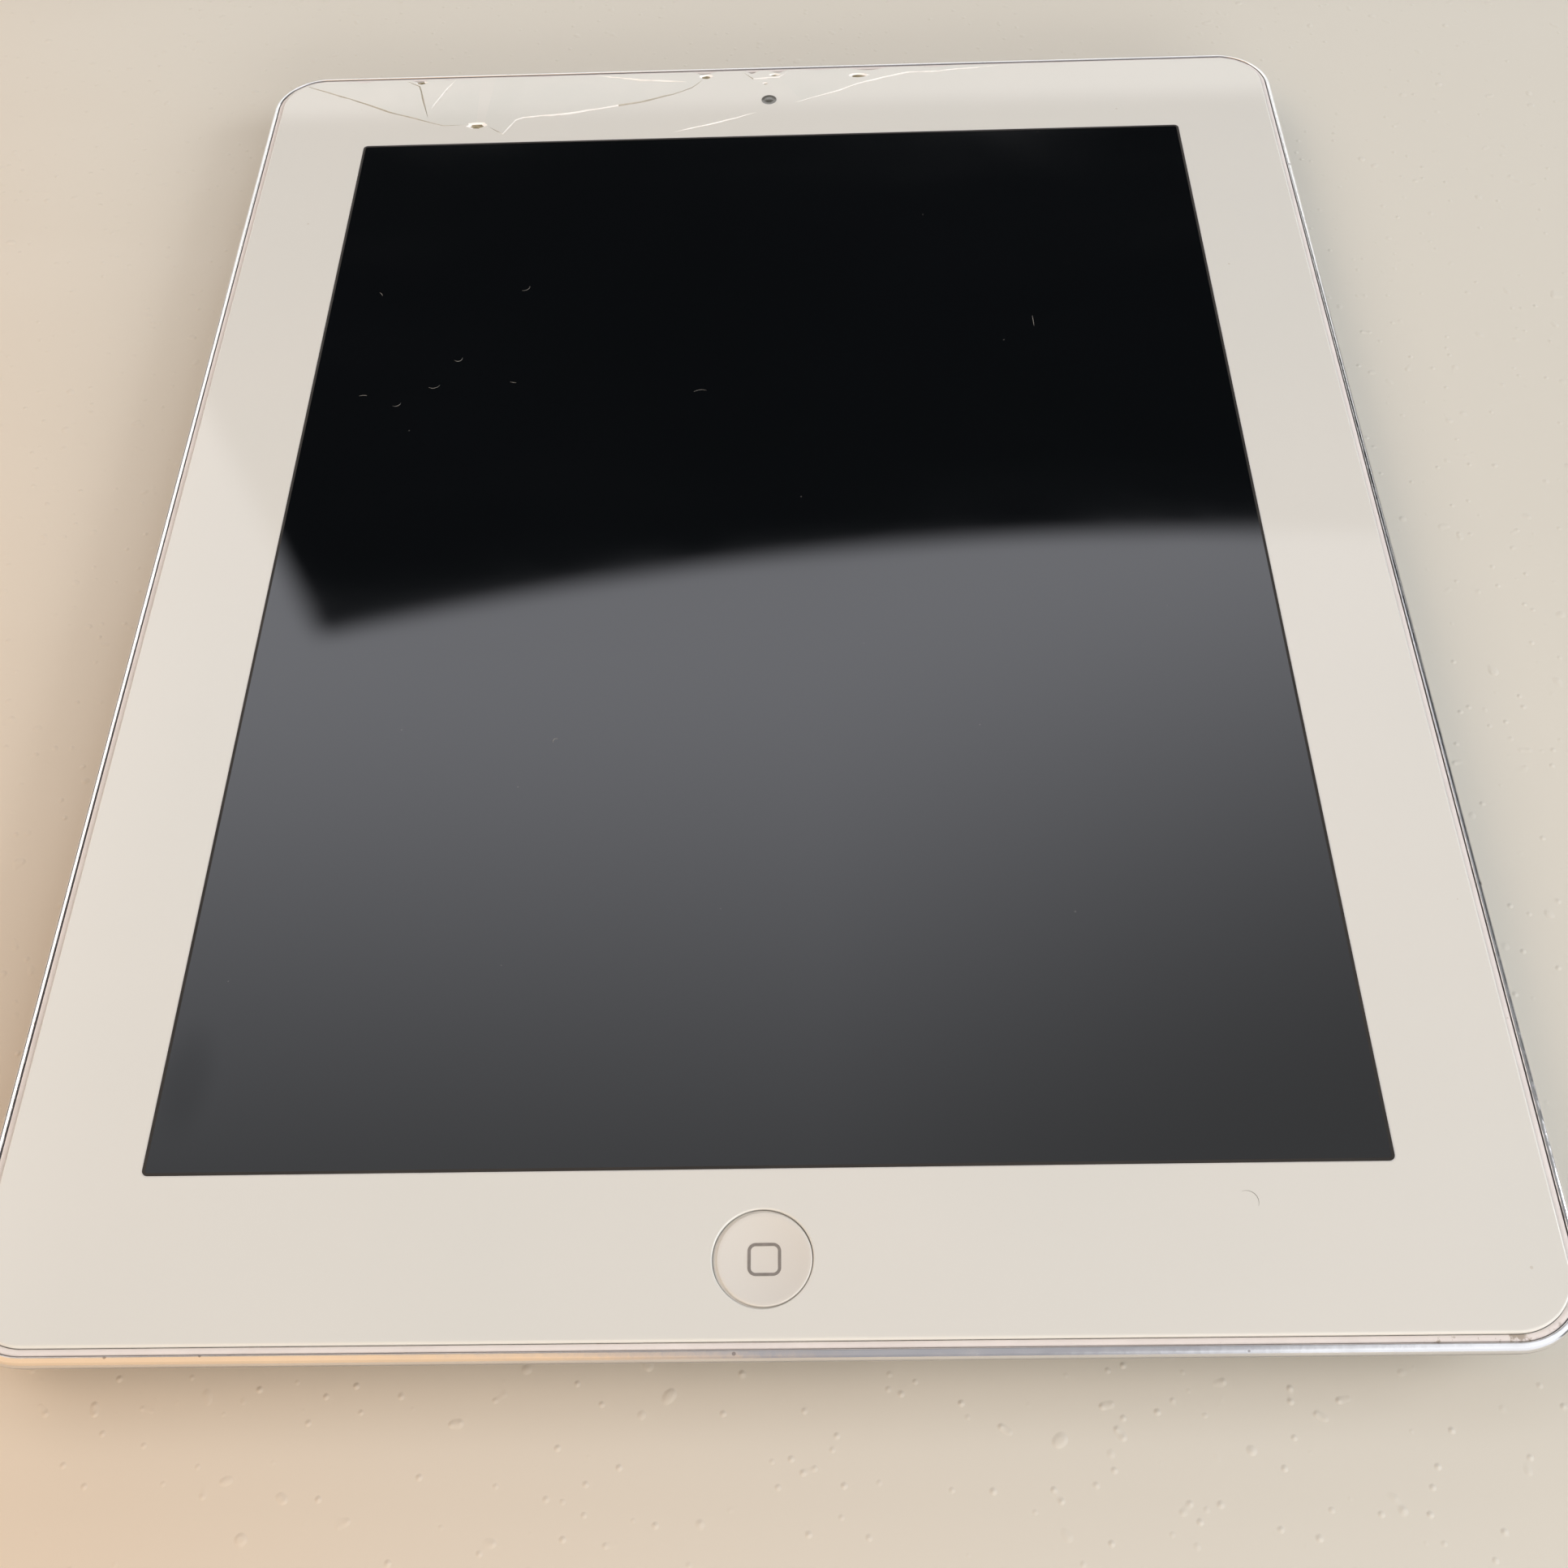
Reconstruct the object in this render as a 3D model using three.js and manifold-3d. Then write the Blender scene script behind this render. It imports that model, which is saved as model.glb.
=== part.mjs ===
// A 9.7 inch tablet computer lying on its back, built as an assembly of separate pieces.
// Millimetres. X runs across the screen, Y from the home button to the front camera, Z up out
// of the glass. The origin is under the middle of the flat back.

import * as THREE from 'three';
import { mergeVertices } from 'three/addons/utils/BufferGeometryUtils.js';
import Module from 'manifold-3d';

const wasm = await Module();
wasm.setup();

// ---- Driving dimensions ----

const body = { width: 185.7, length: 241.2, thickness: 8.8, cornerRadius: 9.4 };
const fitGap = 0.05;       // between pieces that are glued or seated
const movingGap = 0.15;    // round a piece that moves

const shell = {
  wall: 1.2,               // side wall under the ledge
  floor: 0.9,              // flat back
  curveWidth: 17,          // how far the back curve reaches in from the side
  widestBelowTop: 1.2,     // the widest line, measured down from the glass
  cornerGrowth: 0.35,      // the plan corners open out as the back curves in
  rimBelowGlass: 0.35,
  rimRound: 0.9,
  rimWidth: 1.0,
  ledgeReach: 6,           // the glass sits on this ledge
  ledgeThickness: 0.9,
};
const glass = { inset: 1.95, thickness: 0.9 };
const gasket = { outerInset: 1.1, innerInset: 1.9, belowGlass: 0.42 };
const adhesive = { thickness: 0.3, inset: 2.75, width: 2.4 };

const tray = { sideInset: 12.85, homeGap: 0.15, wall: 0.4, floor: 0.3, lip: 0.1, cornerRadius: 1.5 };
const cell = { thickness: 1, glassGap: 0.3, sideGap: 1.3 };
const backlight = { thickness: 1.5, ledDepth: 1.7 };
const tab = { sideInset: 48.85, outFromTray: 2.4, width: 6, thickness: 0.5, belowTrayTop: 1.4 };
const screw = { headRadius: 1.3, headHeight: 0.5, shankRadius: 0.6, shankLength: 2, slotWidth: 0.35 };
const boss = { radius: 2, holeClearance: 0.2, holeSpare: 0.3 };

const homeButton = { radius: 5.5, endInset: 11.3, dish: 0.45, belowGlass: 0.05, travel: 0.35,
  flangeReach: 0.75, flangeHeight: 0.4, nubRadius: 1.6, nubHeight: 0.2 };
const homeSeal = { width: 1.2, thickness: 0.35 };
const homeSwitch = { size: 6, baseHeight: 0.4, domeRadius: 2, domeHeight: 0.2 };
const homeBracket = { length: 40, width: 7, thickness: 0.6, screwSpread: 16 };

const frontCamera = { endInset: 11.3, size: 6.4, barrelRadius: 2.6, barrelHeight: 1, bodyHeight: 2.8,
  glassGap: 0.5, wellRadius: 1.4, wellDepth: 0.5, lensRadius: 1.25, lensHeight: 0.35 };
const lightSensor = { fromMiddle: 11, width: 3, length: 2, height: 1 };
const rearCamera = { sideInset: 13.85, endInset: 13.6, ringRadius: 3.3, ringLip: 0.7, windowRadius: 2.3,
  windowHeight: 1.95, windowThickness: 0.5, windowLip: 0.3, ringTop: 2.7, lipThickness: 0.3,
  moduleSize: 7, moduleCorner: 1.2, moduleTopGap: 1.25, barrelRadius: 2, barrelReach: 0.5 };

const sideRow = { belowWidest: 2.6 };     // height of the row of controls, down from the widest line
const powerButton = { sideInset: 27, length: 10.4, height: 2.4, proud: 0.42, travel: 0.35 };
const volumeRocker = { endInset: 45, length: 21, height: 2.4, proud: 0.42, tilt: 2.5 };
const sideSwitch = { endInset: 27, length: 4.4, height: 2, proud: 0.3, travel: 1.8 };
const buttonFlange = { reach: 1.1, thickness: 0.6, height: 2.3, wallGap: 0.2 };
const tactSwitch = { body: 1.5, dome: 0.4, domeRadius: 1.3, width: 7, board: 0.6 };
const sideBracket = { thickness: 0.6, overhang: 3.5, height: 3, gap: 0.1 };

const jack = { sideInset: 23.85, belowGlass: 4, boreRadius: 1.8, ringWall: 0.5, bodyWidth: 6.8,
  bodyHeight: 4.4, endInset: 7.2, trayGap: 0.8, boreEnd: 1 };
const microphone = { holeRadius: 0.6, width: 4, depth: 2.4, height: 1.5, wallGap: 0.2 };
const dock = { width: 22.8, height: 2.35, wall: 0.35, bracketGap: 0.2, backInset: 12.7, plugDepth: 7.5,
  tongueWidth: 20.4, tongueThickness: 1, plugBlock: 1 };
const speaker = { fromFlatSide: 16.8, fromFlatEnd: 7.3, width: 22, length: 12, portWidth: 16, portLength: 5,
  portDepth: 0.8, meshThickness: 0.2, meshMargin: 1 };
const grille = { columns: 11, rows: 3, pitch: 1.5, holeRadius: 0.45 };

const battery = { cells: 3, leftInset: 45.35, rightInset: 15.75, lowInset: 36.6, highInset: 32.6,
  cellGap: 0.8, floorGap: 0.5, trayGap: 0.3, cornerRadius: 2 };
const batteryBoard = { leftInset: 52.85, rightInset: 30.85, depth: 5, gap: 1.5, thickness: 0.8 };
const board = { sideInset: 14.35, width: 26, lowInset: 60.6, highInset: 45.6, thickness: 0.6,
  screwInset: 3 };
const can = { width: 22, wall: 0.25, endMargin: 10, trayGap: 0.3, tallLength: 32, tallHeight: 1.2,
  lowLength: 26, lowHeight: 1 };
const chips = { processor: 16, processorHeight: 0.8, memoryWidth: 10, memoryLength: 11, memoryHeight: 0.7,
  gap: 2.5 };
const wireless = { inset: 1, width: 19, length: 14, gap: 3, lidHeight: 0.9 };
const radioWindow = { radius: 12, antennaSize: 18, antennaThickness: 0.25 };
const flex = { thickness: 0.2, bend: 0.25, width: 12 };
const magnet = { sideInset: 8.2, width: 2.4, length: 14, height: 2.2, floorGap: 2.3, lowInset: 60.6,
  highInset: 80.6 };
const driverBoard = { leftInset: 14.85, rightInset: 74.85, width: 8, thickness: 0.7, trayGap: 0.25 };

// ---- Levels and lines that follow from them ----

const halfWidth = body.width / 2;
const halfLength = body.length / 2;
const glassTop = body.thickness;
const glassBottom = glassTop - glass.thickness;
const widestZ = glassTop - shell.widestBelowTop;
const rimTop = glassTop - shell.rimBelowGlass;
const ledgeTop = glassBottom - adhesive.thickness - 2 * fitGap;
const floorTop = shell.floor;
const cellTop = glassBottom - cell.glassGap;
const cellBottom = cellTop - cell.thickness;
const backlightTop = cellBottom - fitGap;
const backlightBottom = backlightTop - backlight.thickness;
const trayBottom = backlightBottom - fitGap - tray.floor;
const trayTop = cellTop - tray.lip;
const tabBottom = trayTop - tab.belowTrayTop - tab.thickness;
const controlZ = widestZ - sideRow.belowWidest;
const boardTop = trayBottom - can.trayGap - can.tallHeight - fitGap;
const boardBottom = boardTop - board.thickness;
const homeHoleRadius = homeButton.radius + movingGap;
const homeSealRadius = homeHoleRadius + fitGap + homeSeal.width;
const trayHalfWidth = halfWidth - tray.sideInset;
const trayHalfLength = halfLength - homeButton.endInset - homeSealRadius - tray.homeGap;

// ---- Geometry helpers ----

const quarter = Math.PI / 2;

function roundedOutline(halfX, halfY, radius, steps = 7) {
  const points = [];
  const corners = [[1, -1, -quarter], [1, 1, 0], [-1, 1, quarter], [-1, -1, 2 * quarter]];
  for (const [signX, signY, start] of corners) {
    for (let i = 0; i <= steps; i += 1) {
      const angle = start + (quarter * i) / steps;
      points.push(new THREE.Vector2(
        signX * (halfX - radius) + radius * Math.cos(angle),
        signY * (halfY - radius) + radius * Math.sin(angle)));
    }
  }
  return points;
}

// A solid skinned over outlines with the same number of points, closed at both ends.
function skin(rings) {
  const count = rings[0].points.length;
  const positions = [];
  for (const ring of rings) {
    for (const p of ring.points) positions.push(p.x, p.y, ring.z);
  }
  const index = [];
  const bottom = THREE.ShapeUtils.triangulateShape(rings[0].points, []);
  for (const [a, b, c] of bottom) index.push(a, c, b);
  for (let r = 0; r < rings.length - 1; r += 1) {
    for (let i = 0; i < count; i += 1) {
      const a = r * count + i;
      const b = r * count + ((i + 1) % count);
      index.push(a, b, b + count, a, b + count, a + count);
    }
  }
  const last = (rings.length - 1) * count;
  const top = THREE.ShapeUtils.triangulateShape(rings[rings.length - 1].points, []);
  for (const [a, b, c] of top) index.push(last + a, last + b, last + c);
  const geometry = new THREE.BufferGeometry();
  geometry.setAttribute('position', new THREE.Float32BufferAttribute(positions, 3));
  geometry.setIndex(index);
  return geometry;
}

function prism(points, low, high, holes = []) {
  const shape = new THREE.Shape(points);
  for (const hole of holes) shape.holes.push(new THREE.Path([...hole].reverse()));
  const geometry = new THREE.ExtrudeGeometry(shape, { depth: high - low, bevelEnabled: false });
  return geometry.translate(0, 0, low);
}

function slab(halfX, halfY, radius, low, high, x = 0, y = 0) {
  return prism(roundedOutline(halfX, halfY, radius, 2), low, high).translate(x, y, 0);
}

function ringSlab(outer, inner, low, high) {
  return prism(roundedOutline(...outer), low, high, [roundedOutline(...inner)]);
}

// A turned piece about Z from [radius, z] points that start and end on the axis.
function turned(profile, x = 0, y = 0, segments = 32) {
  const points = profile.map(([r, z]) => new THREE.Vector2(r, z));
  return new THREE.LatheGeometry(points, segments).rotateX(quarter).translate(x, y, 0);
}

function disc(radius, low, high, x = 0, y = 0, segments = 24) {
  return turned([[0, low], [radius, low], [radius, high], [0, high]], x, y, segments);
}

// Lays a piece that was made along Z so that its Z runs along +X, with its X along Y.
function alongX(geometry) {
  return geometry.rotateZ(quarter).rotateY(quarter);
}

// Lays a piece that was made along Z so that its Z runs along +Y, with its X still along X.
function alongY(geometry) {
  return geometry.rotateX(-quarter);
}

function toSolid(geometry) {
  const bare = geometry.clone();
  bare.deleteAttribute('normal');
  bare.deleteAttribute('uv');
  const merged = mergeVertices(bare, 1e-4);
  return new wasm.Manifold(new wasm.Mesh({
    numProp: 3,
    vertProperties: new Float32Array(merged.attributes.position.array),
    triVerts: new Uint32Array(merged.index.array),
  }));
}

function fromSolid(solid) {
  const mesh = solid.getMesh();
  const geometry = new THREE.BufferGeometry();
  geometry.setAttribute('position', new THREE.BufferAttribute(new Float32Array(mesh.vertProperties), 3));
  geometry.setIndex(new THREE.BufferAttribute(new Uint32Array(mesh.triVerts), 1));
  return geometry;
}

function combine(base, joined, removed = []) {
  let solid = toSolid(base);
  for (const piece of joined) solid = solid.add(toSolid(piece));
  for (const piece of removed) solid = solid.subtract(toSolid(piece));
  return fromSolid(solid);
}

function common(a, b) {
  return fromSolid(toSolid(a).intersect(toSolid(b)));
}

const tablet = new THREE.Group();

function addPiece(name, geometry, colour, roughness, metalness = 0) {
  const bare = geometry.index ? geometry.toNonIndexed() : geometry.clone();
  bare.deleteAttribute('uv');
  bare.deleteAttribute('normal');
  bare.computeVertexNormals();
  const material = new THREE.MeshStandardMaterial({ color: colour, roughness, metalness });
  const mesh = new THREE.Mesh(bare, material);
  mesh.name = name;
  tablet.add(mesh);
}

// ---- Rear cover ----

// Outline at a given distance in from the widest line. Rim outlines keep parallel corners and
// back outlines open their corners out.
function rimRing(inset, z) {
  return { z, points: roundedOutline(halfWidth - inset, halfLength - inset, body.cornerRadius - inset) };
}

function backRing(inset, z) {
  const radius = body.cornerRadius + shell.cornerGrowth * inset;
  return { z, points: roundedOutline(halfWidth - inset, halfLength - inset, radius) };
}

// How far the curved back has come in at a height, outside and inside.
function curveInset(z, lowest) {
  const drop = Math.min(1, Math.max(0, (widestZ - z) / (widestZ - lowest)));
  return shell.curveWidth * (1 - Math.sqrt(1 - drop * drop));
}

function outsideRings() {
  const rings = [];
  const backSteps = 9;
  for (let i = 0; i < backSteps; i += 1) {
    const angle = (quarter * i) / backSteps;
    rings.push(backRing(shell.curveWidth * (1 - Math.sin(angle)), widestZ * (1 - Math.cos(angle))));
  }
  const rimSteps = 4;
  for (let i = 0; i <= rimSteps; i += 1) {
    const angle = (quarter * i) / rimSteps;
    const z = widestZ + (rimTop - widestZ) * Math.sin(angle);
    rings.push(rimRing(shell.rimRound * (1 - Math.cos(angle)), z));
  }
  rings.push(rimRing(shell.rimWidth, rimTop));
  return rings;
}

function insideRings() {
  const under = ledgeTop - shell.ledgeThickness;
  const rings = [
    rimRing(shell.rimWidth, ledgeTop),
    rimRing(shell.ledgeReach, ledgeTop),
    rimRing(shell.ledgeReach, under),
  ];
  const steps = 6;
  const startAngle = Math.acos((widestZ - under) / (widestZ - floorTop));
  for (let i = 0; i <= steps; i += 1) {
    const angle = startAngle * (1 - i / steps);
    const z = widestZ - (widestZ - floorTop) * Math.cos(angle);
    rings.push(backRing(shell.wall + curveInset(z, floorTop), z));
  }
  return rings;
}

// The whole outside shape without its hollow, which trims pieces that end at the surface.
const envelope = skin(outsideRings());

function sideX(z) {
  return halfWidth - curveInset(z, 0);
}

function endY(z) {
  return halfLength - curveInset(z, 0);
}

function innerInset(z) {
  return shell.wall + curveInset(z, floorTop);
}

function screwGeometry(x, y, seat) {
  const head = seat + fitGap;
  const profile = [[0, seat - screw.shankLength], [screw.shankRadius, seat - screw.shankLength],
    [screw.shankRadius, head], [screw.headRadius, head], [screw.headRadius, head + screw.headHeight],
    [0, head + screw.headHeight]];
  const arm = screw.headRadius * 0.6;
  const top = head + screw.headHeight;
  const slotDepth = screw.headHeight * 0.5;
  const slotA = slab(arm, screw.slotWidth / 2, 0.05, top - slotDepth, top + 1, x, y);
  const slotB = slab(screw.slotWidth / 2, arm, 0.05, top - slotDepth, top + 1, x, y);
  return combine(turned(profile, x, y, 12), [], [slotA, slotB]);
}

function bossPair(x, y, top, screwDepth) {
  const holeRadius = screw.shankRadius + boss.holeClearance;
  return {
    post: disc(boss.radius, floorTop / 2, top, x, y, 16),
    hole: disc(holeRadius, top - screwDepth - boss.holeSpare, top + 1, x, y, 12),
  };
}

const homeY = -(halfLength - homeButton.endInset);
const homeBracketBottom = glassBottom - homeSeal.thickness - homeButton.flangeHeight
  - homeButton.nubHeight - homeButton.travel - homeSwitch.domeHeight - homeSwitch.baseHeight
  - homeBracket.thickness - 5 * fitGap;
const tabY = trayHalfLength + tab.outFromTray;
const tabX = halfWidth - tab.sideInset;
const tabSpots = [[-1, -1], [1, -1], [1, 1], [-1, 1]].map(([a, b]) => [a * tabX, b * tabY]);
const homeSpots = [-1, 1].map((side) => [side * homeBracket.screwSpread, homeY]);

const boardLeft = -(halfWidth - board.sideInset);
const boardMiddleX = boardLeft + board.width / 2;
const boardLow = -(halfLength - board.lowInset);
const boardHigh = halfLength - board.highInset;
const boardSpots = [
  [boardLeft + board.screwInset, boardLow + board.screwInset],
  [boardLeft + board.width - board.screwInset, boardHigh - board.screwInset],
];
const boardScrewDepth = boardTop - floorTop - fitGap * 2;

const rearCameraX = halfWidth - rearCamera.sideInset;
const rearCameraY = halfLength - rearCamera.endInset;
const rearCameraLow = rearCamera.ringTop + rearCamera.lipThickness + fitGap;
const rearCameraHigh = glassBottom - rearCamera.moduleTopGap;
const powerX = halfWidth - powerButton.sideInset;
const rockerY = halfLength - volumeRocker.endInset;
const switchY = halfLength - sideSwitch.endInset;
const jackX = -(halfWidth - jack.sideInset);
const jackZ = glassTop - jack.belowGlass;
const flatInset = shell.wall + shell.curveWidth;
const speakerX = halfWidth - flatInset - speaker.fromFlatSide;
const speakerY = -(halfLength - flatInset - speaker.fromFlatEnd);
const dockHigh = homeBracketBottom - dock.bracketGap;
const dockLow = dockHigh - dock.height - 2 * dock.wall;

// Room for the home button and its seal, taken out of what runs round the edge there.
function homeRelief() {
  return disc(homeSealRadius + movingGap, homeBracketBottom, glassBottom, 0, homeY, 32);
}

// Pill-shaped plug pointing out of a side, used for the buttons and for their openings.
function pill(length, height, depth) {
  return prism(roundedOutline(length / 2, height / 2, height / 2 - 0.01, 6), 0, depth);
}

function grilleHoles() {
  const holes = [];
  for (let row = 0; row < grille.rows; row += 1) {
    for (let column = 0; column < grille.columns; column += 1) {
      const x = speakerX + (column - (grille.columns - 1) / 2) * grille.pitch;
      const y = speakerY + (row - (grille.rows - 1) / 2) * grille.pitch;
      holes.push(disc(grille.holeRadius, -1, floorTop + 1, x, y, 6));
    }
  }
  return holes;
}

function rearCover() {
  const shellGeometry = skin([...outsideRings(), ...insideRings()]);
  const displayBosses = tabSpots.map(([x, y]) => bossPair(x, y, tabBottom - fitGap, screw.shankLength));
  const homeBosses = homeSpots.map(([x, y]) => bossPair(x, y, homeBracketBottom - fitGap,
    screw.shankLength));
  const seats = boardSpots.map(([x, y]) => disc(boss.radius, floorTop / 2, boardBottom - fitGap, x, y, 16));
  const cuts = [
    disc(radioWindow.radius + fitGap, -1, floorTop + 1, 0, 0, 40),
    disc(rearCamera.ringRadius + movingGap, -1, rearCamera.ringTop, rearCameraX, rearCameraY, 28),
    disc(rearCamera.ringRadius + rearCamera.ringLip + movingGap, rearCamera.ringTop - fitGap,
      rearCameraHigh, rearCameraX, rearCameraY, 28),
    slab(rearCamera.moduleSize / 2 + movingGap, rearCamera.moduleSize / 2 + movingGap,
      rearCamera.moduleCorner,
      rearCameraLow - fitGap, rearCameraHigh, rearCameraX, rearCameraY),
    homeRelief(),
    ...grilleHoles(),
    alongY(disc(jack.boreRadius + jack.ringWall + movingGap, 0, 20, 0, 0, 20))
      .translate(jackX, halfLength - 12, jackZ),
    alongY(slab(jack.bodyWidth / 2 + movingGap, jack.bodyHeight / 2 + movingGap, 0.8, 0, 10))
      .translate(jackX, halfLength - jack.endInset + movingGap - 10, jackZ),
    alongY(disc(microphone.holeRadius, 0, 20, 0, 0, 10)).translate(0, halfLength - 10, controlZ),
    alongY(pill(powerButton.length + 2 * movingGap, powerButton.height + 2 * movingGap, 20))
      .translate(powerX, halfLength - 10, controlZ),
    alongX(pill(volumeRocker.length + 5 * movingGap, volumeRocker.height + 2 * movingGap, 20))
      .translate(halfWidth - 8, rockerY, controlZ),
    alongX(pill(sideSwitch.length + sideSwitch.travel + 2 * movingGap,
      sideSwitch.height + 2 * movingGap, 20))
      .translate(halfWidth - 8, switchY + sideSwitch.travel / 2, controlZ),
    alongY(prism(roundedOutline(dock.width / 2 + dock.wall + movingGap,
      dock.height / 2 + dock.wall + movingGap, 0.8, 4), 0, 20))
      .translate(0, -halfLength - 5, (dockLow + dockHigh) / 2),
    ...[...displayBosses, ...homeBosses].map((pair) => pair.hole),
    ...boardSpots.map(([x, y]) => disc(screw.shankRadius + boss.holeClearance,
      floorTop + fitGap, boardBottom + 1, x, y, 12)),
  ];
  const posts = [...displayBosses, ...homeBosses].map((pair) => pair.post);
  return combine(shellGeometry, [...posts, ...seats], cuts);
}

// ---- Glass, gasket and adhesive ----

function frontGlass() {
  const edge = 0.25;
  const outlines = [[edge * 0.4, glassBottom], [0, glassBottom + edge * 0.4], [0, glassTop - edge],
    [edge * 0.3, glassTop - edge * 0.3], [edge, glassTop]];
  const rings = outlines.map(([inset, z]) => rimRing(glass.inset + inset, z));
  const hole = disc(homeHoleRadius, glassBottom - 1, glassTop + 1, 0, homeY, 40);
  return combine(skin(rings), [], [hole]);
}

function edgeRing(outerInset, innerInset, low, high) {
  const side = (inset) => [halfWidth - inset, halfLength - inset, body.cornerRadius - inset];
  return ringSlab(side(outerInset), side(innerInset), low, high);
}

function glassAdhesive() {
  const low = ledgeTop + fitGap;
  const ring = edgeRing(adhesive.inset, adhesive.inset + adhesive.width, low, low + adhesive.thickness);
  return combine(ring, [], [homeRelief()]);
}

// ---- Display ----

function displayTray() {
  const box = slab(trayHalfWidth, trayHalfLength, tray.cornerRadius, trayBottom, trayTop);
  const hollow = slab(trayHalfWidth - tray.wall, trayHalfLength - tray.wall, tray.cornerRadius - tray.wall,
    trayBottom + tray.floor, trayTop + 1);
  const ears = tabSpots.map(([x, y]) => slab(tab.width / 2, tab.outFromTray + 1, 1,
    tabBottom, tabBottom + tab.thickness, x, y - Math.sign(y) * 1.2));
  const holes = tabSpots.map(([x, y]) => disc(screw.shankRadius + boss.holeClearance,
    tabBottom - 1, tabBottom + tab.thickness + 1, x, y, 12));
  return combine(box, ears, [hollow, ...holes]);
}

const innerHalfWidth = trayHalfWidth - tray.wall - fitGap;
const innerHalfLength = trayHalfLength - tray.wall - fitGap;
const innerCorner = tray.cornerRadius - tray.wall;

function backlightSheet() {
  const length = 2 * innerHalfLength - backlight.ledDepth - fitGap;
  const y = (backlight.ledDepth + fitGap) / 2;
  return slab(innerHalfWidth, length / 2, innerCorner, backlightBottom, backlightTop, 0, y);
}

function ledBar() {
  const y = -(innerHalfLength - backlight.ledDepth / 2);
  const margin = 4;
  return slab(innerHalfWidth - margin, backlight.ledDepth / 2, 0.2, backlightBottom, backlightTop, 0, y);
}

function displayCell() {
  return slab(innerHalfWidth - cell.sideGap, innerHalfLength, innerCorner, cellBottom, cellTop);
}

function displayDriverBoard() {
  const top = trayBottom - driverBoard.trayGap;
  const left = -(halfWidth - driverBoard.leftInset);
  const right = halfWidth - driverBoard.rightInset;
  const y = -(trayHalfLength - driverBoard.width / 2 - 1);
  return slab((right - left) / 2, driverBoard.width / 2, 0.6, top - driverBoard.thickness, top,
    (left + right) / 2, y);
}

// ---- Home button ----

const homeTop = glassTop - homeButton.belowGlass;
const homeFlangeTop = glassBottom - homeSeal.thickness - 2 * fitGap;
const homeFlangeBottom = homeFlangeTop - homeButton.flangeHeight;
const homeNubBottom = homeFlangeBottom - homeButton.nubHeight;

function homeButtonCap() {
  const dishSteps = 4;
  const profile = [[0, homeNubBottom], [homeButton.nubRadius, homeNubBottom],
    [homeButton.nubRadius, homeFlangeBottom],
    [homeButton.radius + homeButton.flangeReach, homeFlangeBottom],
    [homeButton.radius + homeButton.flangeReach, homeFlangeTop],
    [homeButton.radius, homeFlangeTop],
    [homeButton.radius, homeTop - 0.15], [homeButton.radius - 0.12, homeTop]];
  const dishRadius = homeButton.radius - 0.12;
  for (let i = 1; i <= dishSteps; i += 1) {
    const r = dishRadius * (1 - i / dishSteps);
    const fall = homeButton.dish * (1 - (r / dishRadius) ** 2);
    profile.push([r, homeTop - fall]);
  }
  return turned(profile, 0, homeY, 40);
}

function homeButtonSeal() {
  const bottom = homeFlangeTop + fitGap;
  const inner = homeHoleRadius + fitGap;
  const ring = disc(homeSealRadius, bottom, bottom + homeSeal.thickness, 0, homeY, 40);
  return combine(ring, [], [disc(inner, bottom - 1, bottom + 1, 0, homeY, 40)]);
}

function homeBracketPlate() {
  const plate = slab(homeBracket.length / 2, homeBracket.width / 2, 2.5, homeBracketBottom,
    homeBracketBottom + homeBracket.thickness, 0, homeY);
  const holes = homeSpots.map(([x, y]) => disc(screw.shankRadius + boss.holeClearance,
    homeBracketBottom - 1, homeBracketBottom + 2, x, y, 12));
  return combine(plate, [], holes);
}

function homeSwitchPiece() {
  const bottom = homeBracketBottom + homeBracket.thickness + fitGap;
  const half = homeSwitch.size / 2;
  const top = bottom + homeSwitch.baseHeight;
  const dome = turned([[0, top - 0.1], [homeSwitch.domeRadius, top - 0.1],
    [homeSwitch.domeRadius, top + homeSwitch.domeHeight * 0.3],
    [homeSwitch.domeRadius * 0.6, top + homeSwitch.domeHeight],
    [0, top + homeSwitch.domeHeight]], 0, homeY, 16);
  return combine(slab(half, half, 0.5, bottom, top, 0, homeY), [dome]);
}

// ---- Cameras and sensors ----

function frontCameraModule() {
  const y = halfLength - frontCamera.endInset;
  const top = glassBottom - frontCamera.glassGap;
  const shoulder = top - frontCamera.barrelHeight;
  const half = frontCamera.size / 2;
  const block = slab(half, half, 0.5, shoulder - frontCamera.bodyHeight, shoulder, 0, y);
  const barrel = disc(frontCamera.barrelRadius, shoulder - 0.5, top, 0, y, 24);
  const well = disc(frontCamera.wellRadius, top - frontCamera.wellDepth, top + 1, 0, y, 20);
  return combine(block, [barrel], [well]);
}

function frontCameraLens() {
  const y = halfLength - frontCamera.endInset;
  const base = glassBottom - frontCamera.glassGap - frontCamera.wellDepth + fitGap;
  const r = frontCamera.lensRadius;
  return turned([[0, base], [r, base], [r, base + frontCamera.lensHeight * 0.4],
    [r * 0.8, base + frontCamera.lensHeight * 0.7], [r * 0.4, base + frontCamera.lensHeight * 0.95],
    [0, base + frontCamera.lensHeight]], 0, y, 20);
}

function lightSensorChip() {
  const top = glassBottom - cell.glassGap;
  const y = halfLength - frontCamera.endInset;
  return slab(lightSensor.width / 2, lightSensor.length / 2, 0.2, top - lightSensor.height, top,
    lightSensor.fromMiddle, y);
}

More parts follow.
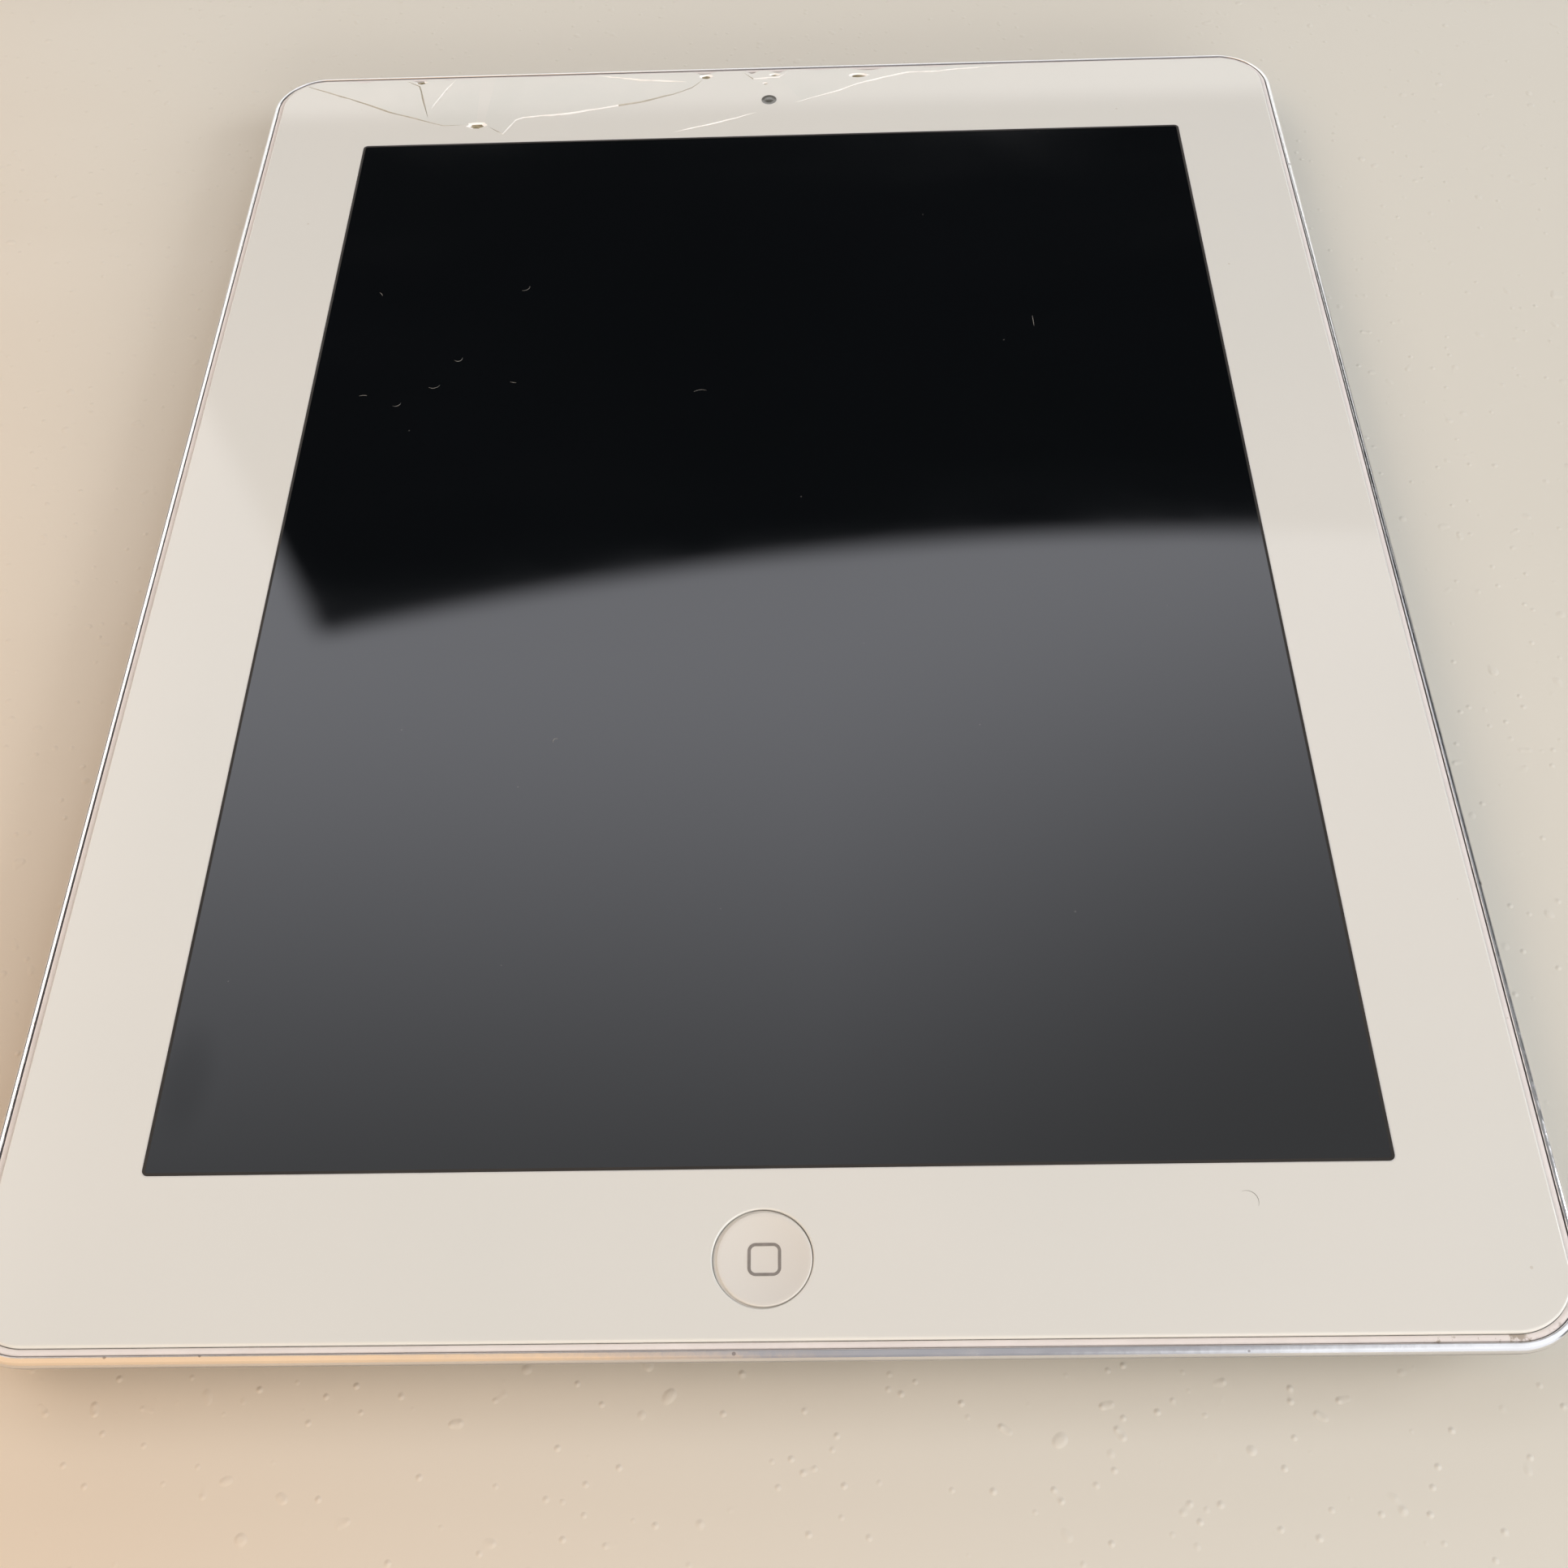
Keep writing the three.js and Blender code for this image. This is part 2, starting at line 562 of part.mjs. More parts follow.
// The camera sits in the curved part of the back, so its ring is trimmed to that surface.
function rearCameraRing() {
  const top = rearCamera.ringTop + rearCamera.lipThickness;
  const tube = disc(rearCamera.ringRadius, 0, top, rearCameraX, rearCameraY, 28);
  const lip = disc(rearCamera.ringRadius + rearCamera.ringLip, rearCamera.ringTop, top,
    rearCameraX, rearCameraY, 28);
  const bore = disc(rearCamera.windowRadius - rearCamera.windowLip, -1, top + 1,
    rearCameraX, rearCameraY, 24);
  const seat = disc(rearCamera.windowRadius, rearCamera.windowHeight, top + 1,
    rearCameraX, rearCameraY, 24);
  return combine(common(tube, envelope), [lip], [bore, seat]);
}

function rearCameraWindow() {
  const low = rearCamera.windowHeight + fitGap;
  return disc(rearCamera.windowRadius - fitGap, low, low + rearCamera.windowThickness,
    rearCameraX, rearCameraY, 24);
}

function rearCameraModule() {
  const low = rearCameraLow;
  const half = rearCamera.moduleSize / 2;
  const block = slab(half, half, rearCamera.moduleCorner, low, rearCameraHigh,
    rearCameraX, rearCameraY);
  const barrel = disc(rearCamera.barrelRadius, low - rearCamera.barrelReach, low + 0.5,
    rearCameraX, rearCameraY, 20);
  const well = disc(rearCamera.barrelRadius * 0.6, low - 1, low, rearCameraX, rearCameraY, 16);
  return combine(block, [barrel], [well]);
}

// ---- Buttons on the edges ----

// A button made along Z, with a rounded face at its outer end and a flange at its inner end.
function edgeButton(length, height, depth, flangeHeight) {
  const round = 0.3;
  const outline = (shrink) => roundedOutline(length / 2 - shrink, height / 2 - shrink,
    height / 2 - shrink - 0.01, 6);
  const stem = skin([
    { z: 0, points: outline(0) },
    { z: depth - round, points: outline(0) },
    { z: depth - round * 0.3, points: outline(round * 0.3) },
    { z: depth, points: outline(round) },
  ]);
  const flange = slab(length / 2 + buttonFlange.reach, flangeHeight / 2, 0.3, 0, buttonFlange.thickness);
  return combine(stem, [flange]);
}

const powerFace = endY(controlZ) + powerButton.proud;
const rockerFace = sideX(controlZ) + volumeRocker.proud;
const switchFace = sideX(controlZ) + sideSwitch.proud;

// The flanges stay behind the wall where the wall comes in furthest.
const flangeInset = innerInset(controlZ - buttonFlange.height / 2) + buttonFlange.wallGap;
const rockerTilt = THREE.MathUtils.degToRad(volumeRocker.tilt);
const rockerSwing = (volumeRocker.length / 2 + buttonFlange.reach) * Math.sin(rockerTilt);
const powerFlange = halfLength - flangeInset - buttonFlange.thickness;
const rockerFlange = halfWidth - flangeInset - rockerSwing - buttonFlange.thickness;
const switchFlange = halfWidth - flangeInset - buttonFlange.thickness;

function powerButtonCap() {
  return alongY(edgeButton(powerButton.length, powerButton.height, powerFace - powerFlange,
    buttonFlange.height))
    .translate(powerX, powerFlange, controlZ);
}

function volumeRockerCap() {
  return alongX(edgeButton(volumeRocker.length, volumeRocker.height, rockerFace - rockerFlange,
    buttonFlange.height))
    .translate(rockerFlange, rockerY, controlZ);
}

function sideSwitchCap() {
  return alongX(edgeButton(sideSwitch.length, sideSwitch.height, switchFace - switchFlange,
    sideSwitch.height))
    .translate(switchFlange, switchY, controlZ);
}

function tactBody(width, domes, boardThickness) {
  const base = slab(width / 2, buttonFlange.height / 2, 0.3, 0, boardThickness);
  const buttons = domes.map((x) => turned([[0, boardThickness - 0.1],
    [tactSwitch.domeRadius * 0.85, boardThickness - 0.1],
    [tactSwitch.domeRadius * 0.85, boardThickness + tactSwitch.dome * 0.5],
    [tactSwitch.domeRadius * 0.5, boardThickness + tactSwitch.dome],
    [0, boardThickness + tactSwitch.dome]], x, 0, 16));
  return combine(base, buttons);
}

function powerSwitchPiece() {
  const depth = tactSwitch.body + tactSwitch.dome + powerButton.travel + fitGap;
  return alongY(tactBody(tactSwitch.width, [0], tactSwitch.body))
    .translate(powerX, powerFlange - depth, controlZ);
}

const rockerBoardX = rockerFlange - rockerSwing - tactSwitch.dome - tactSwitch.board - fitGap;

function volumeSwitchBoard() {
  const domeSpread = volumeRocker.length / 2 - 2.5;
  return alongX(tactBody(volumeRocker.length, [-domeSpread, domeSpread], tactSwitch.board))
    .translate(rockerBoardX, rockerY, controlZ);
}

function sideSwitchBody() {
  const depth = switchFlange - fitGap * 2 - rockerBoardX;
  const length = sideSwitch.length + sideSwitch.travel + 2 * buttonFlange.reach;
  return alongX(slab(length / 2, buttonFlange.height / 2, 0.3, 0, depth))
    .translate(rockerBoardX, switchY + sideSwitch.travel / 2, controlZ);
}

function sideBracketPlate() {
  const low = rockerY - volumeRocker.length / 2 - sideBracket.overhang;
  const high = switchY + sideSwitch.length / 2 + sideSwitch.travel + sideBracket.overhang;
  const depth = sideBracket.thickness;
  return alongX(slab((high - low) / 2, sideBracket.height / 2, 0.8, 0, depth))
    .translate(rockerBoardX - depth - sideBracket.gap, (high + low) / 2, controlZ);
}

// ---- Ports ----

function headphoneJack() {
  const start = trayHalfLength + jack.trayGap;
  const end = halfLength - jack.endInset;
  const block = alongY(slab(jack.bodyWidth / 2, jack.bodyHeight / 2, 0.8, 0, end - start))
    .translate(jackX, start, jackZ);
  const bore = alongY(disc(jack.boreRadius, 0, 30, 0, 0, 20)).translate(jackX, start + jack.boreEnd, jackZ);
  return combine(block, [], [bore]);
}

function headphoneRing() {
  const start = halfLength - jack.endInset + fitGap;
  const outer = alongY(disc(jack.boreRadius + jack.ringWall, 0, 12, 0, 0, 20))
    .translate(jackX, start, jackZ);
  const bore = alongY(disc(jack.boreRadius, 0, 30, 0, 0, 20)).translate(jackX, start - 5, jackZ);
  return combine(common(outer, envelope), [], [bore]);
}

function microphoneCan() {
  const inset = innerInset(controlZ - microphone.height / 2) + microphone.wallGap;
  const y = halfLength - inset - microphone.depth / 2;
  return slab(microphone.width / 2, microphone.depth / 2, 0.3, controlZ - microphone.height / 2,
    controlZ + microphone.height / 2, 0, y);
}

function dockShell() {
  const middle = (dockLow + dockHigh) / 2;
  const length = 20;
  const place = -(halfLength - dock.backInset) - length;
  const outer = alongY(prism(roundedOutline(dock.width / 2 + dock.wall,
    dock.height / 2 + dock.wall, 0.7, 4), 0, length)).translate(0, place, middle);
  const inner = alongY(prism(roundedOutline(dock.width / 2, dock.height / 2, 0.4, 4), -1, length + 1))
    .translate(0, place, middle);
  return combine(common(outer, envelope), [], [inner]);
}

function dockTongue() {
  const middle = (dockLow + dockHigh) / 2;
  const back = -(halfLength - dock.backInset);
  const block = alongY(slab(dock.width / 2 - fitGap, dock.height / 2 - fitGap, 0.3, 0, dock.plugBlock))
    .translate(0, back - dock.plugBlock, middle);
  const blade = alongY(slab(dock.tongueWidth / 2, dock.tongueThickness / 2, 0.3, 0, dock.plugDepth))
    .translate(0, back - dock.plugDepth, middle);
  return combine(block, [blade]);
}

// ---- Sound ----

function speakerModule() {
  const low = floorTop + battery.floorGap;
  const high = trayBottom - battery.trayGap;
  const block = slab(speaker.width / 2, speaker.length / 2, 1.5, low, high, speakerX, speakerY);
  const port = slab(speaker.portWidth / 2, speaker.portLength / 2, 0.8, low - 1, low + speaker.portDepth,
    speakerX, speakerY);
  return combine(block, [], [port]);
}

function speakerMesh() {
  const low = floorTop + fitGap;
  const halfX = (grille.columns * grille.pitch) / 2 + speaker.meshMargin;
  const halfY = (grille.rows * grille.pitch) / 2 + speaker.meshMargin;
  return slab(halfX, halfY, 1, low, low + speaker.meshThickness, speakerX, speakerY);
}

// ---- Battery ----

const batteryLow = -(halfLength - battery.lowInset);
const batteryHigh = halfLength - battery.highInset;
const batteryLeft = -(halfWidth - battery.leftInset);
const batteryRight = halfWidth - battery.rightInset;

function batteryCell(number) {
  const width = (batteryRight - batteryLeft - (battery.cells - 1) * battery.cellGap) / battery.cells;
  const x = batteryLeft + width / 2 + number * (width + battery.cellGap);
  const y = (batteryLow + batteryHigh) / 2;
  const low = floorTop + battery.floorGap;
  const high = trayBottom - battery.trayGap;
  const soft = 0.6;
  const rings = [
    [soft, low], [0, low + soft], [0, high - soft], [soft, high],
  ].map(([shrink, z]) => ({ z, points: roundedOutline(width / 2 - shrink,
    (batteryHigh - batteryLow) / 2 - shrink, battery.cornerRadius, 4) }));
  return skin(rings).translate(x, y, 0);
}

function batteryProtectionBoard() {
  const left = -(halfWidth - batteryBoard.leftInset);
  const right = halfWidth - batteryBoard.rightInset;
  const low = floorTop + battery.floorGap;
  return slab((right - left) / 2, batteryBoard.depth / 2, 0.5, low, low + batteryBoard.thickness,
    (left + right) / 2, batteryHigh + batteryBoard.gap + batteryBoard.depth / 2);
}

// ---- Logic board ----

function logicBoard() {
  const plate = slab(board.width / 2, (boardHigh - boardLow) / 2, 1.2, boardBottom, boardTop,
    boardMiddleX, (boardHigh + boardLow) / 2);
  const holes = boardSpots.map(([x, y]) => disc(screw.shankRadius + boss.holeClearance,
    boardBottom - 1, boardTop + 1, x, y, 12));
  return combine(plate, [], holes);
}

const chipBase = boardTop + fitGap;
const tallCanY = boardHigh - can.endMargin - can.tallLength / 2;
const lowCanY = boardLow + can.endMargin + can.lowLength / 2;
const betweenCansY = (lowCanY + can.lowLength / 2 + tallCanY - can.tallLength / 2) / 2;
const chipRow = chips.processor + chips.gap + chips.memoryLength;

function processorChip() {
  const half = chips.processor / 2;
  const y = tallCanY + (chipRow - chips.processor) / 2;
  return slab(half, half, 0.3, chipBase, chipBase + chips.processorHeight, boardMiddleX, y);
}

function memoryChip() {
  const y = tallCanY - (chipRow - chips.memoryLength) / 2;
  return slab(chips.memoryWidth / 2, chips.memoryLength / 2, 0.3, chipBase,
    chipBase + chips.memoryHeight, boardMiddleX, y);
}

function shieldCan(y, length, height) {
  const outer = slab(can.width / 2, length / 2, 0.8, chipBase, chipBase + height, boardMiddleX, y);
  const inner = slab(can.width / 2 - can.wall, length / 2 - can.wall, 0.6, chipBase - 1,
    chipBase + height - can.wall, boardMiddleX, y);
  return combine(outer, [], [inner]);
}

function boardScrew(x, y) {
  const head = boardTop + fitGap;
  return turned([[0, boardTop - boardScrewDepth], [screw.shankRadius, boardTop - boardScrewDepth],
    [screw.shankRadius, head], [screw.headRadius, head], [screw.headRadius, head + screw.headHeight],
    [0, head + screw.headHeight]], x, y, 16);
}

function wirelessBoard() {
  const y = boardHigh + wireless.gap + wireless.length / 2;
  const x = boardLeft + wireless.inset + wireless.width / 2;
  const plate = slab(wireless.width / 2, wireless.length / 2, 1, boardBottom, boardTop, x, y);
  const lid = slab(wireless.width / 2 - 2, wireless.length / 2 - 2, 0.6, boardTop - 0.1,
    boardTop + wireless.lidHeight, x, y);
  return combine(plate, [lid]);
}

// ---- Flexible circuits ----

// A strip of constant thickness that follows [along, up] points, made in the XY plane.
function stripOutline(points, thickness) {
  const left = [];
  const right = [];
  for (let i = 0; i < points.length; i += 1) {
    const before = new THREE.Vector2(...points[Math.max(0, i - 1)]);
    const here = new THREE.Vector2(...points[i]);
    const after = new THREE.Vector2(...points[Math.min(points.length - 1, i + 1)]);
    const inDirection = here.clone().sub(before).normalize();
    const outDirection = after.clone().sub(here).normalize();
    const direction = inDirection.add(outDirection).normalize();
    const normal = new THREE.Vector2(-direction.y, direction.x).multiplyScalar(thickness / 2);
    left.push(here.clone().add(normal));
    right.unshift(here.clone().sub(normal));
  }
  return [...right, ...left];
}

function touchCable() {
  const top = glassBottom - flex.bend;
  const low = boardTop + flex.bend + 0.2;
  const leg = -(trayHalfWidth + 2);
  const points = [[leg - 3.5, top], [leg - 0.6, top], [leg, top - 0.6], [leg, low + 0.6],
    [leg + 0.6, low], [boardLeft + 5, low]];
  return prism(stripOutline(points, flex.thickness), -flex.width / 2, flex.width / 2).rotateX(quarter)
    .translate(0, betweenCansY, 0);
}

function displayCable() {
  const start = -(trayHalfLength - driverBoard.width - 1.5);
  const high = trayBottom - driverBoard.trayGap - driverBoard.thickness / 2;
  const low = boardTop + flex.bend;
  const points = [[start, high], [start + 6, high], [start + 14, low], [boardLow + 9, low]];
  return prism(stripOutline(points, flex.thickness), -flex.width / 2, flex.width / 2)
    .rotateX(quarter).rotateZ(quarter).translate(boardMiddleX, 0, 0);
}

function dockFlex() {
  const low = floorTop + 0.1;
  const back = -(halfLength - innerInset(low) - 1.5);
  const cross = [back + 11, back + 16];
  const half = flex.width / 2;
  const end = boardLow - 1;
  const outline = [[half, back], [half, cross[1]], [boardMiddleX + half, cross[1]],
    [boardMiddleX + half, end], [boardMiddleX - half, end],
    [boardMiddleX - half, cross[0]], [-half, cross[0]], [-half, back]];
  return prism(outline.map(([x, y]) => new THREE.Vector2(x, y)), low, low + flex.thickness);
}

function windowAntenna() {
  const low = floorTop + fitGap;
  const half = radioWindow.antennaSize / 2;
  return slab(half, half, 1.5, low, low + radioWindow.antennaThickness);
}

function magnetBar(side, y) {
  const low = floorTop + magnet.floorGap;
  return slab(magnet.width / 2, magnet.length / 2, 0.3, low, low + magnet.height,
    side * (halfWidth - magnet.sideInset), y);
}

// ---- Assembly ----

addPiece('rear_cover', rearCover(), 0xb9bbbf, 0.32, 1);
addPiece('antenna_window', disc(radioWindow.radius, 0, floorTop - 0.1, 0, 0, 40), 0x33363b, 0.45);
addPiece('front_glass', frontGlass(), 0xe4e0d8, 0.06);
addPiece('glass_adhesive', glassAdhesive(), 0x2a2a2a, 0.8);
addPiece('edge_gasket', edgeRing(gasket.outerInset, gasket.innerInset, ledgeTop + fitGap,
  glassTop - gasket.belowGlass), 0xe8e2d6, 0.5);

addPiece('display_tray', displayTray(), 0x8f9296, 0.4, 0.9);
addPiece('display_backlight', backlightSheet(), 0xf1f1ec, 0.5);
addPiece('backlight_led_bar', ledBar(), 0xe6dc9a, 0.5);
addPiece('display_cell', displayCell(), 0x090c10, 0.08);
addPiece('display_driver_board', displayDriverBoard(), 0x1f4a36, 0.5);
tabSpots.forEach(([x, y], i) => {
  addPiece(`display_screw_${i + 1}`, screwGeometry(x, y, tabBottom + tab.thickness), 0x9a9ca0, 0.3, 1);
});

addPiece('home_button', homeButtonCap(), 0xe6e1d6, 0.2);
addPiece('home_button_seal', homeButtonSeal(), 0x3a3a3a, 0.8);
addPiece('home_switch', homeSwitchPiece(), 0xb5b8bb, 0.35, 0.8);
addPiece('home_bracket', homeBracketPlate(), 0x9c9ea2, 0.35, 1);
homeSpots.forEach(([x, y], i) => {
  const seat = homeBracketBottom + homeBracket.thickness;
  addPiece(`home_screw_${i + 1}`, screwGeometry(x, y, seat), 0x9a9ca0, 0.3, 1);
});

addPiece('front_camera', frontCameraModule(), 0x1a1b1d, 0.5);
addPiece('front_camera_lens', frontCameraLens(), 0x10131a, 0.05);
addPiece('light_sensor', lightSensorChip(), 0x2b2d31, 0.4);
addPiece('rear_camera', rearCameraModule(), 0x1a1b1d, 0.5);
addPiece('rear_camera_ring', rearCameraRing(), 0xc3c5c8, 0.15, 1);
addPiece('rear_camera_window', rearCameraWindow(), 0x0c0e12, 0.05);

addPiece('power_button', powerButtonCap(), 0xb4b6ba, 0.3, 1);
addPiece('power_switch', powerSwitchPiece(), 0x2c2e31, 0.5);
addPiece('volume_rocker', volumeRockerCap(), 0xb4b6ba, 0.3, 1);
addPiece('volume_switch_board', volumeSwitchBoard(), 0x2c2e31, 0.5);
addPiece('side_switch', sideSwitchCap(), 0xb4b6ba, 0.3, 1);
addPiece('side_switch_body', sideSwitchBody(), 0x2c2e31, 0.5);
addPiece('side_bracket', sideBracketPlate(), 0x9c9ea2, 0.35, 1);

addPiece('headphone_jack', headphoneJack(), 0x1b1c1e, 0.5);
addPiece('headphone_ring', headphoneRing(), 0xe8e6e0, 0.35);
addPiece('microphone', microphoneCan(), 0xb8babd, 0.3, 1);
addPiece('dock_shell', dockShell(), 0xb0b2b6, 0.3, 1);
addPiece('dock_tongue', dockTongue(), 0x222326, 0.5);
addPiece('dock_flex', dockFlex(), 0x3a2b18, 0.5);
addPiece('speaker_module', speakerModule(), 0x1d1e20, 0.5);
addPiece('speaker_mesh', speakerMesh(), 0x2a2b2d, 0.6);

for (let number = 0; number < battery.cells; number += 1) {
  addPiece(`battery_cell_${number + 1}`, batteryCell(number), 0x2f3134, 0.45);
}
addPiece('battery_board', batteryProtectionBoard(), 0x1f4a36, 0.5);
addPiece('logic_board', logicBoard(), 0x16324a, 0.5);
addPiece('processor', processorChip(), 0x26282b, 0.4);
addPiece('memory_chip', memoryChip(), 0x1b1c1e, 0.4);
addPiece('shield_can_1', shieldCan(tallCanY, can.tallLength, can.tallHeight), 0xb7b9bc, 0.3, 1);
addPiece('shield_can_2', shieldCan(lowCanY, can.lowLength, can.lowHeight), 0xb7b9bc, 0.3, 1);
boardSpots.forEach(([x, y], i) => {
  addPiece(`board_screw_${i + 1}`, boardScrew(x, y), 0x9a9ca0, 0.3, 1);
});
addPiece('wireless_board', wirelessBoard(), 0x16324a, 0.5);
addPiece('window_antenna', windowAntenna(), 0xb8864a, 0.4, 0.6);
addPiece('display_cable', displayCable(), 0x3a2b18, 0.5);
addPiece('touch_cable', touchCable(), 0x3a2b18, 0.5);
const magnetRows = [-(halfLength - magnet.lowInset), halfLength - magnet.highInset];
[-1, 1].forEach((side) => magnetRows.forEach((y, i) => {
  addPiece(`magnet_${side < 0 ? 'left' : 'right'}_${i + 1}`, magnetBar(side, y), 0x8d8f93, 0.3, 1);
}));

export default tablet;
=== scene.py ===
import math
import random

import bmesh
import bpy
from mathutils import Matrix, Vector
from mathutils.geometry import delaunay_2d_cdt


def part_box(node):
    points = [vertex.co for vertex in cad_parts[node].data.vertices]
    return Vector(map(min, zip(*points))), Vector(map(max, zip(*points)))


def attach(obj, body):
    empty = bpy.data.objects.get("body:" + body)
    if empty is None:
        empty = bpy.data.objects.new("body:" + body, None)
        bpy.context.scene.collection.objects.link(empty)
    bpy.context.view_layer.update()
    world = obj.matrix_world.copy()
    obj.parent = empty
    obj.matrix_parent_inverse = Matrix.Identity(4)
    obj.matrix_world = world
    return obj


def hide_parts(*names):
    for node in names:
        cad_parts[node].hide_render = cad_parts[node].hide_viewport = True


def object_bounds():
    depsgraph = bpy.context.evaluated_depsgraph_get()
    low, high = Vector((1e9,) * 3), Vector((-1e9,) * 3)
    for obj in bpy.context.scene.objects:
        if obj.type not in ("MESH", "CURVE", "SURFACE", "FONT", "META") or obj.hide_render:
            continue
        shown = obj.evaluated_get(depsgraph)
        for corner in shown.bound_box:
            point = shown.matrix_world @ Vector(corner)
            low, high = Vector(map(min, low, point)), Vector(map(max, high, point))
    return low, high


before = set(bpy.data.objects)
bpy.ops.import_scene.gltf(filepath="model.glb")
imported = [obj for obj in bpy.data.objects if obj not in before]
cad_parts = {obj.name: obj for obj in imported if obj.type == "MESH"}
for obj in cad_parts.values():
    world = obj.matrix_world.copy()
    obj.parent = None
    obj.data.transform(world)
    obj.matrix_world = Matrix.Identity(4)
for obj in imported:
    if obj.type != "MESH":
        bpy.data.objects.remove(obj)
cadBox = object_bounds()
mm = 0.001
topZ = cadBox[1].z / mm          # glass face, in millimetres
halfX = cadBox[1].x / mm
halfY = cadBox[1].y / mm
print("frame loaded:", len(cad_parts), "nodes")

# Lengths in the settings are millimetres and become metres when a mesh is made. Settings in metres
# say so: the stain, the grime's fade, and the table, cards and lamps at the end.


def boxOf(node):
    low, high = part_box(node)
    return low / mm, high / mm


def middleOf(node):
    low, high = boxOf(node)
    return (low + high) / 2


def roundedLoop(halfWidth, halfLength, radius, steps=24, middle=(0, 0)):
    points = []
    corners = ((1, -1, -90), (1, 1, 0), (-1, 1, 90), (-1, -1, 180))
    for signX, signY, start in corners:
        for step in range(steps + 1):
            angle = math.radians(start + 90 * step / steps)
            x = middle[0] + signX * (halfWidth - radius) + radius * math.cos(angle)
            y = middle[1] + signY * (halfLength - radius) + radius * math.sin(angle)
            points.append((x, y))
    return points


def circleLoop(radius, middle=(0, 0), steps=64):
    turn = 2 * math.pi / steps
    return [(middle[0] + radius * math.cos(turn * i), middle[1] + radius * math.sin(turn * i))
            for i in range(steps)]


def addObject(name, data):
    added = bpy.data.objects.new(name, data)
    bpy.context.scene.collection.objects.link(added)
    return added


def makePiece(name, vertices, faces, materials, faceMaterials=None):
    mesh = bpy.data.meshes.new(name)
    mesh.from_pydata([Vector(v) * mm for v in vertices], [], faces)
    for material in materials:
        mesh.materials.append(material)
    if faceMaterials:
        mesh.polygons.foreach_set("material_index", faceMaterials)
    return addObject(name, mesh)


def ringFaces(ringCount, perRing, start=0, closed=False):
    faces = []
    last = ringCount if closed else ringCount - 1
    for ring in range(last):
        here = start + ring * perRing
        above = start + ((ring + 1) % ringCount) * perRing
        for i in range(perRing):
            j = (i + 1) % perRing
            faces.append((here + i, here + j, above + j, above + i))
    return faces


def outwardNormals(piece):
    mesh = bmesh.new()
    mesh.from_mesh(piece.data)
    bmesh.ops.remove_doubles(mesh, verts=mesh.verts, dist=1e-6)
    bmesh.ops.recalc_face_normals(mesh, faces=mesh.faces)
    mesh.to_mesh(piece.data)
    mesh.free()


def smoothShading(piece, angle=32):
    piece.data.polygons.foreach_set("use_smooth", [True] * len(piece.data.polygons))
    piece.data.set_sharp_from_angle(angle=math.radians(angle))
    piece.data.update()


def settle(piece, body, slot, *nodes):
    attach(piece, body)
    if nodes:
        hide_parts(*nodes)
    return piece


def applyModifiers(piece):
    depsgraph = bpy.context.evaluated_depsgraph_get()
    mesh = bpy.data.meshes.new_from_object(piece.evaluated_get(depsgraph))
    piece.modifiers.clear()
    piece.data = mesh
    mesh.name = piece.name
    return piece


def turnedPiece(name, profile, middle, materials, steps=64, materialOf=None):
    vertices = []
    faces = []
    slots = []
    rows = []
    for radius, z in profile:
        if radius < 1e-6:
            rows.append([len(vertices)])
            vertices.append((middle[0], middle[1], z))
        else:
            rows.append(list(range(len(vertices), len(vertices) + steps)))
            vertices += [(x, y, z) for x, y in circleLoop(radius, middle, steps)]
    for number in range(len(rows) - 1):
        a, b = rows[number], rows[number + 1]
        for i in range(steps):
            j = (i + 1) % steps
            if len(a) == 1:
                faces.append((a[0], b[j], b[i]))
            elif len(b) == 1:
                faces.append((a[i], a[j], b[0]))
            else:
                faces.append((a[i], a[j], b[j], b[i]))
            slots.append(materialOf(number) if materialOf else 0)
    piece = makePiece(name, vertices, faces, materials, slots)
    outwardNormals(piece)
    return piece


def arc(centreR, centreZ, radius, start, end, steps):
    points = []
    for i in range(steps + 1):
        angle = math.radians(start + (end - start) * i / steps)
        points.append((centreR + radius * math.cos(angle), centreZ + radius * math.sin(angle)))
    return points


# Patterns that several finishes share are shader groups, each made once.
def newGroup(name, inputs, outputs):
    group = bpy.data.node_groups.new(name, "ShaderNodeTree")
    for label, kind, value in inputs:
        socket = group.interface.new_socket(label, in_out="INPUT", socket_type="NodeSocket" + kind)
        socket.default_value = value
    for label, kind in outputs:
        group.interface.new_socket(label, in_out="OUTPUT", socket_type="NodeSocket" + kind)
    source = group.nodes.new("NodeGroupInput")
    sink = group.nodes.new("NodeGroupOutput")
    return group, source, sink


def addNode(tree, kind, inputs=None, **settings):
    node = tree.nodes.new(kind)
    for key, value in settings.items():
        setattr(node, key, value)
    for key, value in (inputs or {}).items():
        if isinstance(value, bpy.types.NodeSocket):
            tree.links.new(value, node.inputs[key])
        else:
            node.inputs[key].default_value = value
    return node


def useGroup(tree, group, **inputs):
    return addNode(tree, "ShaderNodeGroup", inputs, node_tree=group)


def objectSpot(tree):
    return addNode(tree, "ShaderNodeTexCoord").outputs["Object"]


def objectXY(tree):
    parts = addNode(tree, "ShaderNodeSeparateXYZ", {"Vector": objectSpot(tree)})
    return parts.outputs["X"], parts.outputs["Y"]


def mixColour(tree, factor, first, second):
    node = addNode(tree, "ShaderNodeMix", {0: factor, 6: first, 7: second}, data_type="RGBA")
    return node.outputs[2]


def mapRange(tree, value, low, high, toLow=0.0, toHigh=1.0, smooth=False):
    node = addNode(tree, "ShaderNodeMapRange",
                   {"Value": value, "From Min": low, "From Max": high, "To Min": toLow, "To Max": toHigh},
                   interpolation_type="SMOOTHSTEP" if smooth else "LINEAR")
    return node.outputs["Result"]


def calculate(tree, operation, first, second=0.0):
    node = addNode(tree, "ShaderNodeMath", {0: first, 1: second}, operation=operation)
    return node.outputs[0]


